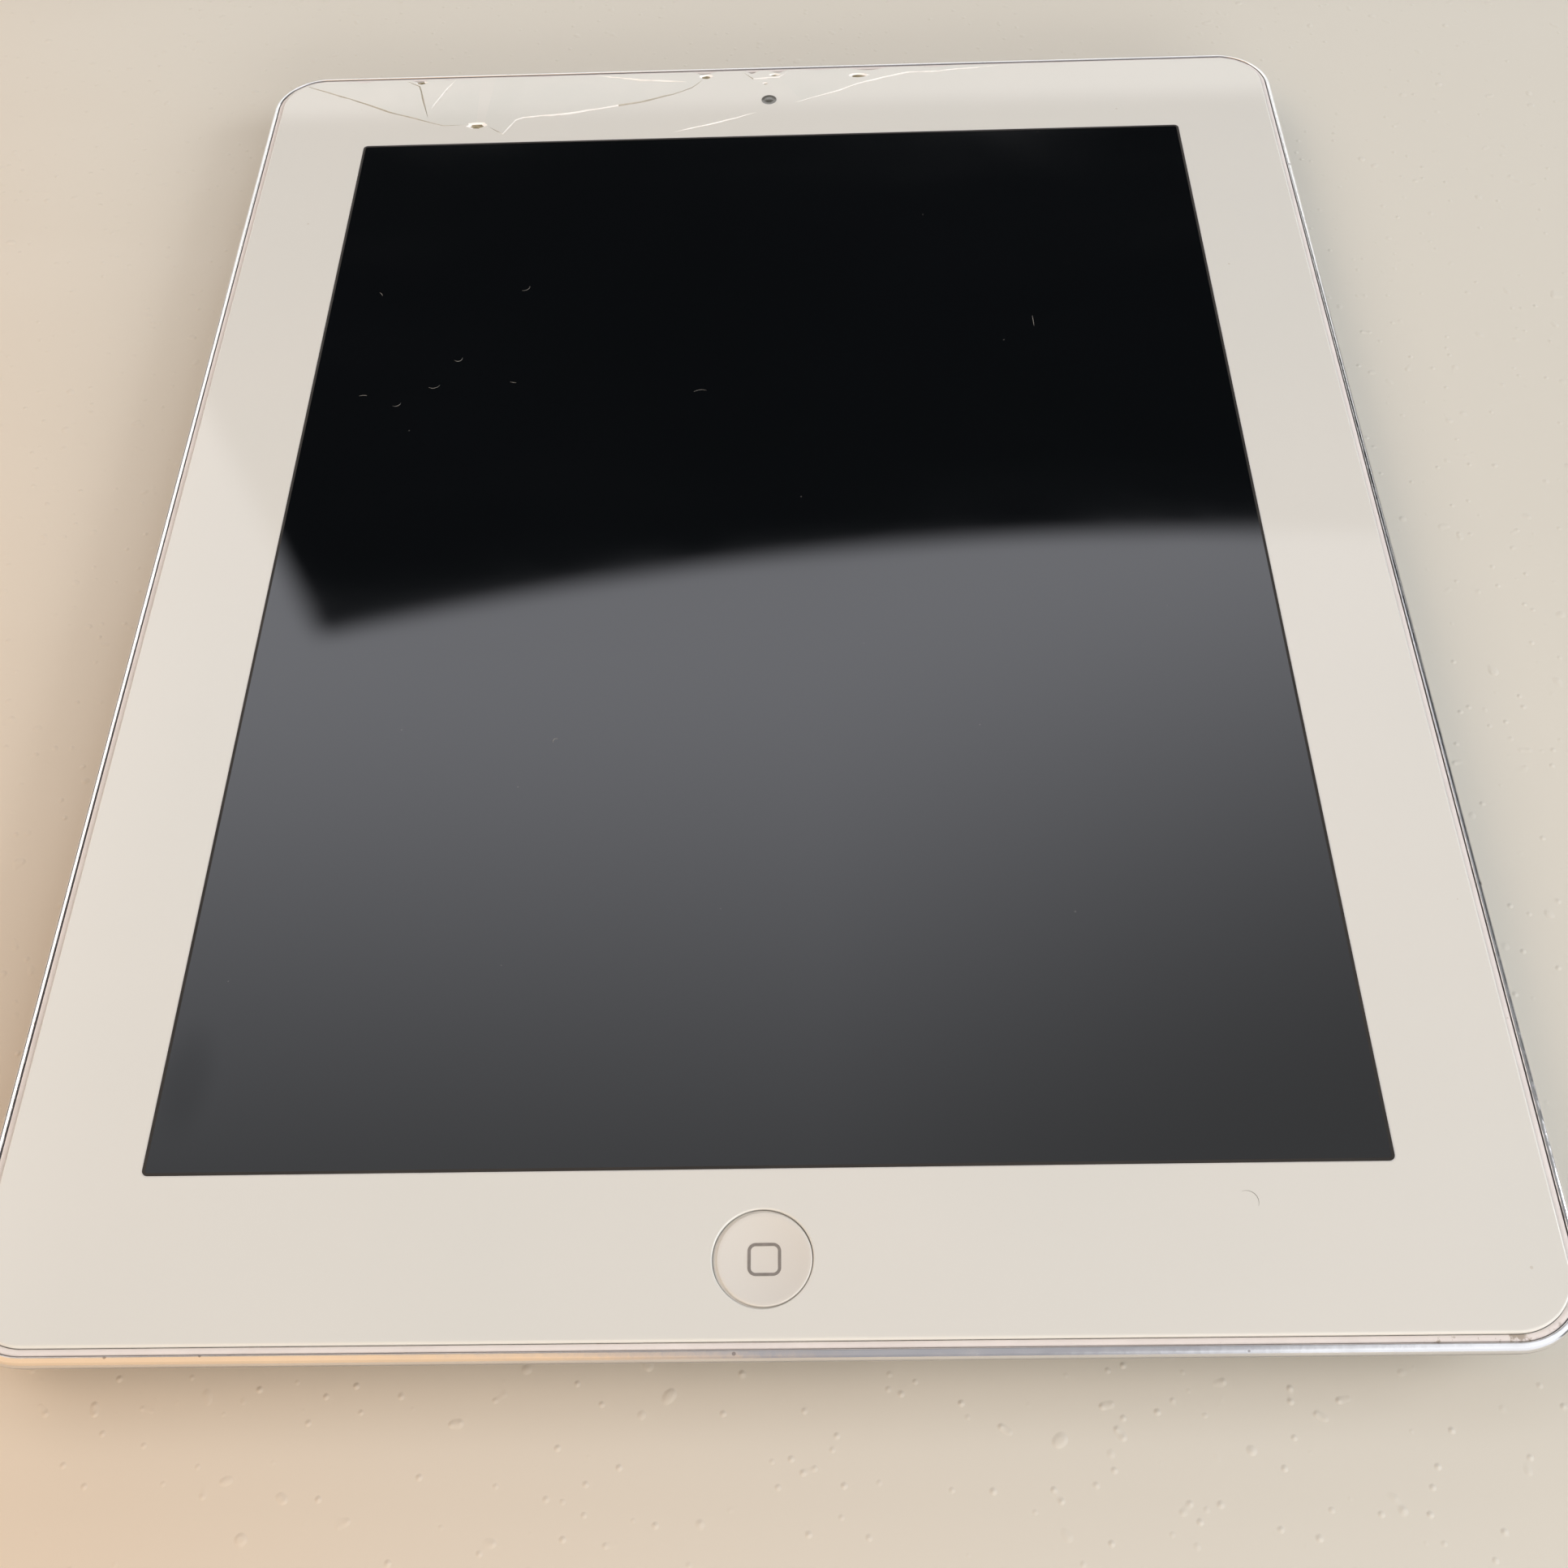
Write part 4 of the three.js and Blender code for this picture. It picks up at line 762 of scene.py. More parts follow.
glass = {
    "edgeRound": 0.28,
    "roundSteps": 6,
    "homeHole": 5.8,
    "homeBevel": 0.18,
    "screenHalf": (74.0, 98.6),
    "screenCorner": 0.8,
    "paleLine": 0.16,
    "blackLine": 0.4,
    "crackDepth": 0.24,
    "crackStep": 1.8,          # a crack bends about this often, and strays this far
    "crackStray": 0.08,
    "shardCracks": (0, 1, 6),  # beyond these cracks the loose shards are painted a slightly different, greener tone, a painted shade standing in for the light their tilt catches
    "chipBed": 0.62,           # share of a chip that is dirty, and how deep it is
    "chipDepth": 0.22,
    "homeSteps": 96,
    "homeBevelSteps": 4,
    "notchStep": 0.35,
    "seed": 4,
    "tolerance": 1e-5,
}
glassFinishes = ("printedGlass", "screenGlass", "darkGap", "paleEdge", "crackGlint", "brownDirt",
                 "shardTiltShade", "crackShade")
# Each crack: points from the middle of the glass, its half width, and the x range where it shines: there it
# takes the painted glint, bright white, and elsewhere the grey-brown painted shade.
cracks = [
    (((-88.4, 117.9), (-78.5, 113.0), (-70.8, 108.7), (-65.6, 106.5), (-60.1, 104.1), (-56.0, 104.2)),
     0.2, (0, 0)),
    (((-51.8, 103.6), (-48.8, 101.1), (-46.7, 105.2), (-45.4, 105.9), (-37.2, 106.7), (-27.9, 108.8),
      (-24.0, 109.6), (-17.9, 111.8), (-14.4, 113.7), (-12.4, 116.2)), 0.3, (-49.5, -27.9)),
    (((-68.6, 118.2), (-65.9, 116.4), (-63.7, 108.4), (-63.1, 106.2)), 0.2, (0, 0)),
    (((-62.9, 109.1), (-61.2, 113.6), (-59.2, 118.2)), 0.22, (-70, 0)),
    (((-31.9, 118.1), (-24.0, 116.4), (-15.3, 115.5)), 0.26, (-40, 0)),
    (((-17.5, 100.3), (-11.3, 102.2), (-7.7, 103.5), (-2.2, 105.6)), 0.2, (-20, 0)),
    (((4.7, 108.3), (7.4, 109.4), (13.2, 111.7), (16.4, 113.5), (21.3, 115.3), (26.2, 116.7),
      (30.1, 116.7), (36.9, 117.4), (43.5, 118.1)), 0.24, (0, 50)),
    (((-4.8, 117.9), (-3.0, 115.9), (1.9, 116.2), (3.4, 117.9)), 0.24, (-3, 5)),
]
# Each chip: its middle, half sizes and how many points run round it.
chips = [((-53.8, 103.9), 2.2, 1.3, 15), ((-65.8, 117.6), 1.4, 0.7, 9), ((-11.9, 117.0), 1.5, 0.8, 9),
         ((1.0, 117.0), 1.2, 0.5, 8), ((16.6, 116.2), 2.4, 0.7, 12), ((-0.8, 114.4), 0.7, 0.4, 8)]
# Bites out of the glass edge at the camera end: middle, half width, depth.
notches = [(-76.5, 1.6, 0.5), (-66.0, 1.5, 0.9), (-60.5, 0.9, 0.35), (-42.0, 2.2, 0.22), (-12.2, 2.0, 0.8),
           (-3.2, 1.1, 0.9), (1.6, 1.6, 0.8), (9.0, 3.0, 0.3), (18.5, 3.6, 0.75), (31.0, 2.6, 0.3)]


def splitLine(points, spacing, jitter, chance):
    result = [Vector(points[0])]
    for first, second in zip(points, points[1:]):
        a, b = Vector(first), Vector(second)
        across = Vector((a.y - b.y, b.x - a.x)).normalized()
        pieces = max(1, round((b - a).length / spacing))
        for i in range(1, pieces + 1):
            spot = a.lerp(b, i / pieces)
            if i < pieces:
                spot += across * chance.uniform(-jitter, jitter)
            result.append(spot)
    return result


def crackShape(points, halfWidth, chance):
    line = splitLine(points, glass["crackStep"], glass["crackStray"], chance)
    left = []
    right = []
    for i in range(1, len(line) - 1):
        along = (line[i + 1] - line[i - 1]).normalized()
        across = Vector((-along.y, along.x))
        share = math.sin(math.pi * i / (len(line) - 1)) ** 0.5
        width = halfWidth * share * chance.uniform(0.55, 1.0)
        left.append(line[i] + across * width)
        right.append(line[i] - across * width)
    return line, left, right


def notchAt(x):
    return sum(deep * max(0.0, 1 - ((x - spot) / wide) ** 2) for spot, wide, deep in notches)


def glassLoop(inset, halfWidth, halfLength, radius):
    loop = roundedLoop(halfWidth - inset, halfLength - inset, radius - inset)
    half = len(loop) // 2
    reach = halfWidth - radius
    count = round(2 * reach / glass["notchStep"])
    top = [(reach - 2 * reach * i / count, halfLength - inset) for i in range(1, count)]
    return loop[:half] + [(x, y - notchAt(x)) for x, y in top] + loop[half:]


def beyondCrack(spot, route):
    for (ax, ay), (bx, by) in zip(route, route[1:]):
        if ax <= spot.x < bx and spot.y > ay + (by - ay) * (spot.x - ax) / (bx - ax):
            return True
    return False


def insideLoop(point, loop):
    inside = False
    x, y = point
    for i, (ax, ay) in enumerate(loop):
        bx, by = loop[i - 1]
        if (ay > y) != (by > y) and x < (bx - ax) * (y - ay) / (by - ay) + ax:
            inside = not inside
    return inside


def buildGlass():
    chance = random.Random(glass["seed"])
    low, high = boxOf("front_glass")
    halfWidth, halfLength = high.x, high.y
    radius = housing["cornerRadius"] - (halfX - halfWidth)
    home = middleOf("home_button")
    edge = glass["edgeRound"]
    outer = glassLoop(edge, halfWidth, halfLength, radius)
    hole = circleLoop(glass["homeHole"] + glass["homeBevel"], (home.x, home.y), glass["homeSteps"])
    screenX, screenY = glass["screenHalf"]
    corner = glass["screenCorner"]
    loops = {"pale": roundedLoop(screenX + glass["paleLine"], screenY + glass["paleLine"],
                                 corner + glass["paleLine"], 8),
             "black": roundedLoop(screenX, screenY, corner, 8),
             "screen": roundedLoop(screenX - glass["blackLine"], screenY - glass["blackLine"],
                                   corner - glass["blackLine"], 8)}
    points = []
    edges = []
    depthOf = {}

    def addLoop(loop, depth=0.0):
        base = len(points)
        points.extend(Vector(p) for p in loop)
        edges.extend((base + i, base + (i + 1) % len(loop)) for i in range(len(loop)))
        for i in range(len(loop)):
            depthOf[base + i] = depth
        return base

    addLoop(outer)
    addLoop(hole)
    for loop in loops.values():
        addLoop(loop)
    crackLoops = []
    for route, width, _ in cracks:
        line, left, right = crackShape(route, width, chance)
        ring = [line[0], *right, line[-1], *reversed(left)]
        crackLoops.append([tuple(p) for p in ring])
        addLoop(ring)
        base = len(points)
        points.extend(line[1:-1])
        edges.extend((base + i, base + i + 1) for i in range(len(line) - 3))
        for i in range(len(line) - 2):
            depthOf[base + i] = glass["crackDepth"] * chance.uniform(0.6, 1.0)
    chipLoops = []
    dirtLoops = []
    for (x, y), wide, tall, count in chips:
        shares = [chance.uniform(0.65, 1.0) for _ in range(count)]
        rim = [(x + wide * s * math.cos(2 * math.pi * i / count),
                y + tall * s * math.sin(2 * math.pi * i / count)) for i, s in enumerate(shares)]
        bed = [(x + (a - x) * glass["chipBed"], y + (b - y) * glass["chipBed"]) for a, b in rim]
        chipLoops.append(rim)
        dirtLoops.append(bed)
        addLoop(rim)
        addLoop(bed, glass["chipDepth"])
    flat, _, triangles, origins = delaunay_2d_cdt(points, edges, [], 1, glass["tolerance"])[:4]
    vertices = []
    for place, origin in zip(flat, origins):
        depth = max((depthOf.get(i, 0.0) for i in origin), default=0.0)
        vertices.append((place.x, place.y, topZ - depth))
    faces = []
    slots = []
    for triangle in triangles:
        spot = sum((flat[i] for i in triangle), Vector((0, 0))) / 3
        if not insideLoop(spot, outer) or insideLoop(spot, hole):
            continue
        kind = "printedGlass"
        if insideLoop(spot, loops["screen"]):
            kind = "screenGlass"
        elif insideLoop(spot, loops["black"]):
            kind = "darkGap"
        elif insideLoop(spot, loops["pale"]):
            kind = "paleEdge"
        # painted shade for the loose shards beyond these cracks
        elif any(beyondCrack(spot, cracks[i][0]) for i in glass["shardCracks"]):
            kind = "shardTiltShade"
        # chip rims take the painted glint; each crack takes the painted glint inside its shining x range
        # and the painted shade elsewhere
        if any(insideLoop(spot, loop) for loop in chipLoops):
            kind = "crackGlint"
        for loop, (_, _, shine) in zip(crackLoops, cracks):
            if insideLoop(spot, loop):
                kind = "crackGlint" if shine[0] < spot.x < shine[1] else "crackShade"
        if any(insideLoop(spot, loop) for loop in dirtLoops):
            kind = "brownDirt"
        faces.append(tuple(triangle))
        slots.append(glassFinishes.index(kind))
    flatCount = len(faces)             # the top faces stay flat, the walls are smooth

    def addRoundedWall(reach, steps, loopAt):
        rows = []
        for i in range(steps + 1):
            angle = math.pi / 2 * i / steps
            z = topZ - reach * (1 - math.cos(angle))
            rows.append([(x, y, z) for x, y in loopAt(reach * (1 - math.sin(angle)))])
        rows.append([(x, y, low.z) for x, y, z in rows[-1]])
        added = ringFaces(len(rows), len(rows[0]), len(vertices))
        for row in rows:
            vertices.extend(row)
        faces.extend(added)
        slots.extend([0] * len(added))

    addRoundedWall(edge, glass["roundSteps"],
                   lambda inset: glassLoop(inset, halfWidth, halfLength, radius))
    addRoundedWall(glass["homeBevel"], glass["homeBevelSteps"],
                   lambda grow: circleLoop(glass["homeHole"] + grow, (home.x, home.y), glass["homeSteps"]))
    under = glassLoop(0.0, halfWidth, halfLength, radius)
    underHole = circleLoop(glass["homeHole"], (home.x, home.y), glass["homeSteps"])
    base = len(vertices)
    ring = [Vector(p) for p in under + underHole]
    count = len(underHole)
    links = [(i, (i + 1) % len(under)) for i in range(len(under))]
    links += [(len(under) + i, len(under) + (i + 1) % count) for i in range(count)]
    flat, _, triangles = delaunay_2d_cdt(ring, links, [], 1, glass["tolerance"])[:3]
    vertices.extend((p.x, p.y, low.z) for p in flat)
    for triangle in triangles:
        spot = sum((flat[i] for i in triangle), Vector((0, 0))) / 3
        if not insideLoop(spot, underHole):
            faces.append(tuple(base + i for i in reversed(triangle)))
            slots.append(0)
    piece = makePiece("coverGlass", vertices, faces, [finish[name] for name in glassFinishes], slots)
    outwardNormals(piece)
    smoothShading(piece, 24)
    piece.data.polygons.foreach_set("use_smooth", [i >= flatCount for i in range(len(faces))])
    return settle(piece, "housing", "white_backed_glass", "front_glass")


buildGlass()
print("glass cut and cracked")


gasket = {"width": 0.8, "topRound": 0.16, "waver": 0.03, "seed": 9}


def buildGasket():
    low, high = boxOf("edge_gasket")
    outer = halfX - high.x
    inner = outer + gasket["width"]
    soft = gasket["topRound"]
    chance = random.Random(gasket["seed"])
    profile = [(outer, low.z), (outer, high.z - soft), (outer + soft * 0.3, high.z - soft * 0.3),
               (outer + soft, high.z), (inner - soft, high.z), (inner - soft * 0.3, high.z - soft * 0.3),
               (inner, high.z - soft), (inner, low.z)]
    rings = []
    perRing = len(roundedLoop(10, 10, 1))
    wavers = [chance.uniform(-1, 1) * gasket["waver"] for _ in range(perRing)]
    for inset, z in profile:
        radius = housing["cornerRadius"] - inset
        loop = roundedLoop(halfX - inset, halfY - inset, radius)
        lift = 0.0 if z == low.z else 1.0
        rings += [(x, y, z + lift * (w - gasket["waver"])) for (x, y), w in zip(loop, wavers)]
    piece = makePiece("edgeGasket", rings, ringFaces(len(profile), perRing, closed=True),
                      [finish["gasketPlastic"]])
    outwardNormals(piece)
    smoothShading(piece, 40)
    return settle(piece, "housing", "white_gasket", "edge_gasket")


buildGasket()
print("gasket laid")


homeKey = {
    "radius": 5.55, "dish": 0.40, "edge": 0.22, "offCentre": (0.19, -0.06),
    "shoulder": 5.74, "shoulderDrop": 0.32, "shoulderSoft": 0.05,
    "flange": 6.4, "flangeHeight": 0.4, "nub": 1.6, "nubHeight": 0.2,
    "markHalf": 1.93, "markCorner": 0.95, "markLine": 0.37, "markLift": 0.012, "markDepth": 0.03,
}


def dishHeight(distance, top):
    reach = homeKey["radius"] - homeKey["edge"]
    return top - homeKey["dish"] * (1 - (distance / reach) ** 2)


def buildHomeKey():
    low, high = boxOf("home_button")
    middle = ((low.x + high.x) / 2, (low.y + high.y) / 2)
    nubTop = low.z + homeKey["nubHeight"]
    flangeTop = nubTop + homeKey["flangeHeight"]
    shoulderZ = high.z - homeKey["shoulderDrop"]
    soft = homeKey["shoulderSoft"]
    reach = homeKey["radius"] - homeKey["edge"]
    profile = [(0, low.z), (homeKey["nub"], low.z), (homeKey["nub"], nubTop),
               (homeKey["flange"], nubTop), (homeKey["flange"], flangeTop),
               (homeKey["shoulder"], flangeTop), (homeKey["shoulder"], shoulderZ - soft),
               (homeKey["shoulder"] - soft, shoulderZ), (homeKey["radius"], shoulderZ)]
    profile += arc(reach, high.z - homeKey["edge"], homeKey["edge"], 0, 90, 6)
    profile += [(reach * (1 - i / 14), dishHeight(reach * (1 - i / 14), high.z)) for i in range(1, 15)]
    cap = turnedPiece("homeKeyCap", profile, middle, [finish["whiteButton"]], 96)
    for vertex in cap.data.vertices:       # the cap sits a little to one side in its hole
        if vertex.co.z > (shoulderZ + 0.02) * mm:
            vertex.co.x += homeKey["offCentre"][0] * mm
            vertex.co.y += homeKey["offCentre"][1] * mm
    smoothShading(cap, 40)
    settle(cap, "home_key", "white_button", "home_button")
    middle = (middle[0] + homeKey["offCentre"][0], middle[1] + homeKey["offCentre"][1])

    half, corner, line = homeKey["markHalf"], homeKey["markCorner"], homeKey["markLine"]
    depth = homeKey["markDepth"]
    outer = roundedLoop(half, half, corner, 10, middle)
    inner = roundedLoop(half - line, half - line, corner - line, 10, middle)
    vertices = []
    for loop, lift in ((outer, 0.0), (outer, 1.0), (inner, 1.0), (inner, 0.0)):
        for x, y in loop:
            distance = math.hypot(x - middle[0], y - middle[1])
            z = dishHeight(distance, high.z) - depth + lift * (depth + homeKey["markLift"])
            vertices.append((x, y, z))
    mark = makePiece("homeKeyMark", vertices, ringFaces(4, len(outer), closed=True), [finish["printLine"]])
    outwardNormals(mark)
    settle(mark, "home_key", "white_button")


buildHomeKey()
print("home button made")


frontEye = {"ring": 1.5, "ringLine": 0.12, "pupil": 0.55, "depth": 0.3, "lift": 0.014}


def buildFrontEye():
    spot = middleOf("front_camera_lens")
    base = topZ - frontEye["depth"]
    lift = frontEye["lift"]
    ring, pupil = frontEye["ring"], frontEye["pupil"]
    inside = ring - frontEye["ringLine"]
    profile = [(0, base), (ring, base), (ring, topZ + lift), (inside, topZ + lift),
               (inside - 0.05, topZ + lift * 0.3), (pupil + 0.1, topZ + lift * 0.3),
               (pupil, topZ + lift * 0.9), (pupil * 0.5, topZ + lift * 1.5), (0, topZ + lift * 1.7)]

    def pick(number):
        return 1 if number in (1, 2) else 0

    eye = turnedPiece("frontCameraEye", profile, (spot.x, spot.y),
                      [finish["cameraGlass"], finish["paleEdge"]], 48, pick)
    smoothShading(eye, 30)
    settle(eye, "housing", "lens_glass", "front_camera_lens")


buildFrontEye()
print("front camera made")


keyEdge = {"round": 0.3, "flangeReach": 1.1, "flangeThickness": 0.6, "flangeHeight": 1.9}


def buildEdgeKey(name, key):
    low, high = boxOf(key["node"])
    middle = (low + high) / 2
    axis = 0 if key["axis"] == "x" else 1
    inner, outer = low[axis], high[axis]
    soft = keyEdge["round"]
    flange = key["length"] + 2 * keyEdge["flangeReach"]
    flangeTop = inner + keyEdge["flangeThickness"]
    rows = [(flange, keyEdge["flangeHeight"], inner),
            (flange, keyEdge["flangeHeight"], flangeTop),
            (key["length"], key["height"], flangeTop),
            (key["length"], key["height"], outer - soft)]
    for i in range(1, 6):
        angle = math.pi / 2 * i / 5
        shrink = 2 * soft * (1 - math.cos(angle))
        rows.append((key["length"] - shrink, key["height"] - shrink, outer - soft * (1 - math.sin(angle))))
    vertices = []
    perRing = len(pillOutline(5, 2))
    for length, height, level in rows:
        for a, b in pillOutline(length, height):
            if axis == 0:
                vertices.append((level, middle.y + a, middle.z + b))
            else:
                vertices.append((middle.x + a, level, middle.z + b))
    faces = ringFaces(len(rows), perRing)
    faces.append(tuple(range(perRing)))
    faces.append(tuple(range((len(rows) - 1) * perRing, len(rows) * perRing)))
    piece = makePiece(name, vertices, faces, [finish["buttonAluminium"]])
    outwardNormals(piece)
    smoothShading(piece, 35)
    settle(piece, key["body"], "button_aluminium", key["node"])


for keyName, keySettings in keySets.items():
    buildEdgeKey(keyName, keySettings)
print("edge buttons made")


backWindow = {"edgeRound": 0.1}


def buildBackWindow():
    low, high = boxOf("antenna_window")
    radius = high.x
    soft = backWindow["edgeRound"]
    profile = [(0, low.z), *arc(radius - soft, soft, soft, -90, 0, 4), (radius, high.z), (0, high.z)]
    piece = turnedPiece("antennaCover", profile, (0, 0), [finish["darkPlastic"]], 96)
    smoothShading(piece, 30)
    settle(piece, "housing", "dark_plastic", "antenna_window")


def buildRearLens():
    low, high = boxOf("rear_camera_window")
    spot = (low + high) / 2
    radius = high.x - spot.x
    profile = [(0, high.z), (radius, high.z), (radius, low.z), (radius * 0.9, low.z - 0.05),
               (radius * 0.62, low.z - 0.05), (radius * 0.58, low.z + 0.12), (radius * 0.46, low.z + 0.12),
               (radius * 0.42, low.z + 0.02), (radius * 0.3, low.z - 0.06), (0, low.z - 0.1)]

    def pick(number):
        return 1 if number in (4, 5) else 0

    piece = turnedPiece("rearCameraLens", profile, (spot.x, spot.y),
                        [finish["lensGlass"], finish["blackPlastic"]], 64, pick)
    smoothShading(piece, 30)
    settle(piece, "housing", "lens_glass", "rear_camera_window")


buildBackWindow()
buildRearLens()
print("back window and rear camera made")


screw = {"Head Radius": 1.3, "Head Height": 0.5, "Shank Radius": 0.6, "Shank Length": 2.0,
         "Slot": 0.35, "Slot Depth": 0.25}


def makeScrewTree():
    tree, source, sink = newNodesTree("screwTree", [
        ("Geometry", "Geometry", None), *((label, "Float", size * mm) for label, size in screw.items()),
        ("Material", "Material", None)])
    headHeight = source.outputs["Head Height"]
    head = addNode(tree, "GeometryNodeMeshCylinder",
                   {"Vertices": 32, "Radius": source.outputs["Head Radius"], "Depth": headHeight})
    shank = addNode(tree, "GeometryNodeMeshCylinder",
                    {"Vertices": 20, "Radius": source.outputs["Shank Radius"],
                     "Depth": source.outputs["Shank Length"]})
    total = calculate(tree, "ADD", source.outputs["Shank Length"], headHeight)
    drop = calculate(tree, "MULTIPLY", total, -0.5)
    shift = addNode(tree, "ShaderNodeCombineXYZ", {"Z": drop})
    shankPlaced = addNode(tree, "GeometryNodeTransform", {"Geometry": shank.outputs["Mesh"],
                                                          "Translation": shift.outputs["Vector"]})
    reach = calculate(tree, "MULTIPLY", source.outputs["Head Radius"], 1.2)
    depth = calculate(tree, "MULTIPLY", source.outputs["Slot Depth"], 2.0)
    rise = calculate(tree, "MULTIPLY", headHeight, 0.5)
    cuts = []
    for along, across in ((reach, source.outputs["Slot"]), (source.outputs["Slot"], reach)):
        size = addNode(tree, "ShaderNodeCombineXYZ", {"X": along, "Y": across, "Z": depth})
        bar = addNode(tree, "GeometryNodeMeshCube", {"Size": size.outputs["Vector"]})
        up = addNode(tree, "ShaderNodeCombineXYZ", {"Z": rise})
        placed = addNode(tree, "GeometryNodeTransform", {"Geometry": bar.outputs["Mesh"],
                                                         "Translation": up.outputs["Vector"]})
        cuts.append(placed.outputs["Geometry"])
    slotted = addNode(tree, "GeometryNodeMeshBoolean", {"Mesh 1": head.outputs["Mesh"]},
                      operation="DIFFERENCE")
    for cutShape in cuts:
        tree.links.new(cutShape, slotted.inputs["Mesh 2"])
    joined = addNode(tree, "GeometryNodeJoinGeometry")
    tree.links.new(slotted.outputs["Mesh"], joined.inputs["Geometry"])
    tree.links.new(shankPlaced.outputs["Geometry"], joined.inputs["Geometry"])
    copies = addNode(tree, "GeometryNodeInstanceOnPoints", {"Points": source.outputs["Geometry"],
                                                            "Instance": joined.outputs["Geometry"]})
    finishTree(tree, copies.outputs["Instances"], source, sink)
    return tree


def buildScrews():
    nodes = sorted(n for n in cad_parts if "_screw_" in n)
    spots = []
    for node in nodes:
        low, high = boxOf(node)
        spots.append(((low.x + high.x) / 2, (low.y + high.y) / 2, high.z - screw["Head Height"] / 2))
    values = {label: size * mm for label, size in screw.items()}
    values["Material"] = finish["screwSteel"]
    piece = growPiece("screws", makeScrewTree(), values, spots)
    smoothShading(piece, 35)
    settle(piece, "housing", "screw_steel", *nodes)


contactRow = {"count": 30, "pitch": 0.65, "width": 0.34, "length": 5.0, "thickness": 0.06,
              "setBack": 0.4, "drop": 0.52}


def makeContactTree():
    tree, source, sink = newNodesTree("contactTree", [
        ("Count", "Int", 30), ("Pitch", "Float", 0.00065), ("Size", "Vector", (0.0003, 0.005, 0.0001)),
        ("Start", "Vector", (0, 0, 0)), ("Material", "Material", None)])
    step = addNode(tree, "ShaderNodeCombineXYZ", {"X": source.outputs["Pitch"]})
    row = addNode(tree, "GeometryNodeMeshLine", {"Count": source.outputs["Count"],
                                                 "Start Location": source.outputs["Start"],
                                                 "Offset": step.outputs["Vector"]})
    bar = addNode(tree, "GeometryNodeMeshCube", {"Size": source.outputs["Size"]})
    bars = addNode(tree, "GeometryNodeInstanceOnPoints", {"Points": row.outputs["Mesh"],
                                                          "Instance": bar.outputs["Mesh"]})
    finishTree(tree, bars.outputs["Instances"], source, sink)
    return tree


def buildContacts():
    low, high = boxOf("dock_tongue")
    middleZ = (low.z + high.z) / 2
    count, pitch = contactRow["count"], contactRow["pitch"]
    start = (-(count - 1) / 2 * pitch, low.y + contactRow["setBack"] + contactRow["length"] / 2,
             middleZ - contactRow["drop"])
    piece = growPiece("dockContacts", makeContactTree(), {
        "Count": count, "Pitch": pitch * mm,
        "Size": (contactRow["width"] * mm, contactRow["length"] * mm, contactRow["thickness"] * mm),
        "Start": tuple(Vector(start) * mm), "Material": finish["goldContact"]})
    settle(piece, "housing", "copper_film")


buildScrews()
buildContacts()
print("screws and contacts made")


dustSet = {"seed": 21, "thickness": 0.028, "height": 0.018, "lift": 0.002, "steps": 9}
hairSpots = [(-65.5, 57.9), (-40.7, 58.1), (43.7, 47.4), (-65.3, 33.4), (-53.9, 34.7), (-29.3, -35.7),
             (57.0, -102.4), (-10.8, 32.9), (-50.5, 40.9), (-59.4, 30.8), (-41.2, 35.6)]


def buildDust():
    chance = random.Random(dustSet["seed"])
    vertices = []
    faces = []
    for spotX, spotY in hairSpots:
        length = chance.uniform(0.8, 3.0)
        turn = chance.uniform(0, math.pi)
        bend = chance.uniform(-1.6, 1.6)
        count = dustSet["steps"]
        base = len(vertices)
        for i in range(count):
            share = i / (count - 1)
            angle = turn + bend * (share - 0.5)
            x = spotX + length * (share - 0.5) * math.cos(angle)
            y = spotY + length * (share - 0.5) * math.sin(angle)
            across = Vector((-math.sin(angle), math.cos(angle)))
            half = dustSet["thickness"] * (0.4 + math.sin(math.pi * share))
            vertices += [(x + across.x * half, y + across.y * half, topZ + dustSet["lift"]),
                         (x, y, topZ + dustSet["height"]),
                         (x - across.x * half, y - across.y * half, topZ + dustSet["lift"])]
        for i in range(count - 1):
            a = base + 3 * i
            faces += [(a, a + 1, a + 4, a + 3), (a + 1, a + 2, a + 5, a + 4), (a + 2, a, a + 3, a + 5)]
        end = base + 3 * (count - 1)
        faces += [(base, base + 2, base + 1), (end, end + 1, end + 2)]
    piece = makePiece("dustHairs", vertices, faces, [finish["dustFibre"]])
    outwardNormals(piece)
    settle(piece, "housing", "white_trim")


buildDust()
print("dust laid")


keptFinishes = {
    "glass_adhesive": "foamTape", "display_tray": "stampedSteel", "display_backlight": "lightGuide",
    "backlight_led_bar": "ledStrip", "display_cell": "lensGlass", "display_driver_board": "greenBoard",
    "home_button_seal": "blackRubber", "home_switch": "switchMetal", "home_bracket": "stampedSteel",
    "front_camera": "blackPlastic", "light_sensor": "lensGlass", "rear_camera": "blackPlastic",
    "rear_camera_ring": "polishedRing", "power_switch": "switchMetal", "volume_switch_board": "greenBoard",
    "side_switch_body": "blackPlastic", "side_bracket": "stampedSteel", "headphone_jack": "whiteTrim",
    "headphone_ring": "whiteTrim", "microphone": "switchMetal", "dock_shell": "switchMetal",
    "dock_tongue": "whiteTrim", "dock_flex": "flexCircuit", "speaker_module": "blackPlastic",
    "speaker_mesh": "darkPlastic", "battery_board": "greenBoard", "logic_board": "blueBoard",
    "processor": "chipPackage", "memory_chip": "chipPackage", "wireless_board": "shieldMetal",
    "window_antenna": "copperFilm", "display_cable": "flexCircuit", "touch_cable": "flexCircuit",
}
keptFamilies = {"battery_cell_": "batteryFoil", "shield_can_": "shieldMetal", "magnet_": "nickelMagnet"}


def dressKeptNodes():
    dressed = 0
    for name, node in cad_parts.items():
        if node.hide_render:
            continue
        chosen = keptFinishes.get(name)
        for family, familyFinish in keptFamilies.items():
            if name.startswith(family):
                chosen = familyFinish
        node.data.materials.clear()
        node.data.materials.append(finish[chosen])
        dressed += 1
    print("kept nodes dressed:", dressed)


dressKeptNodes()


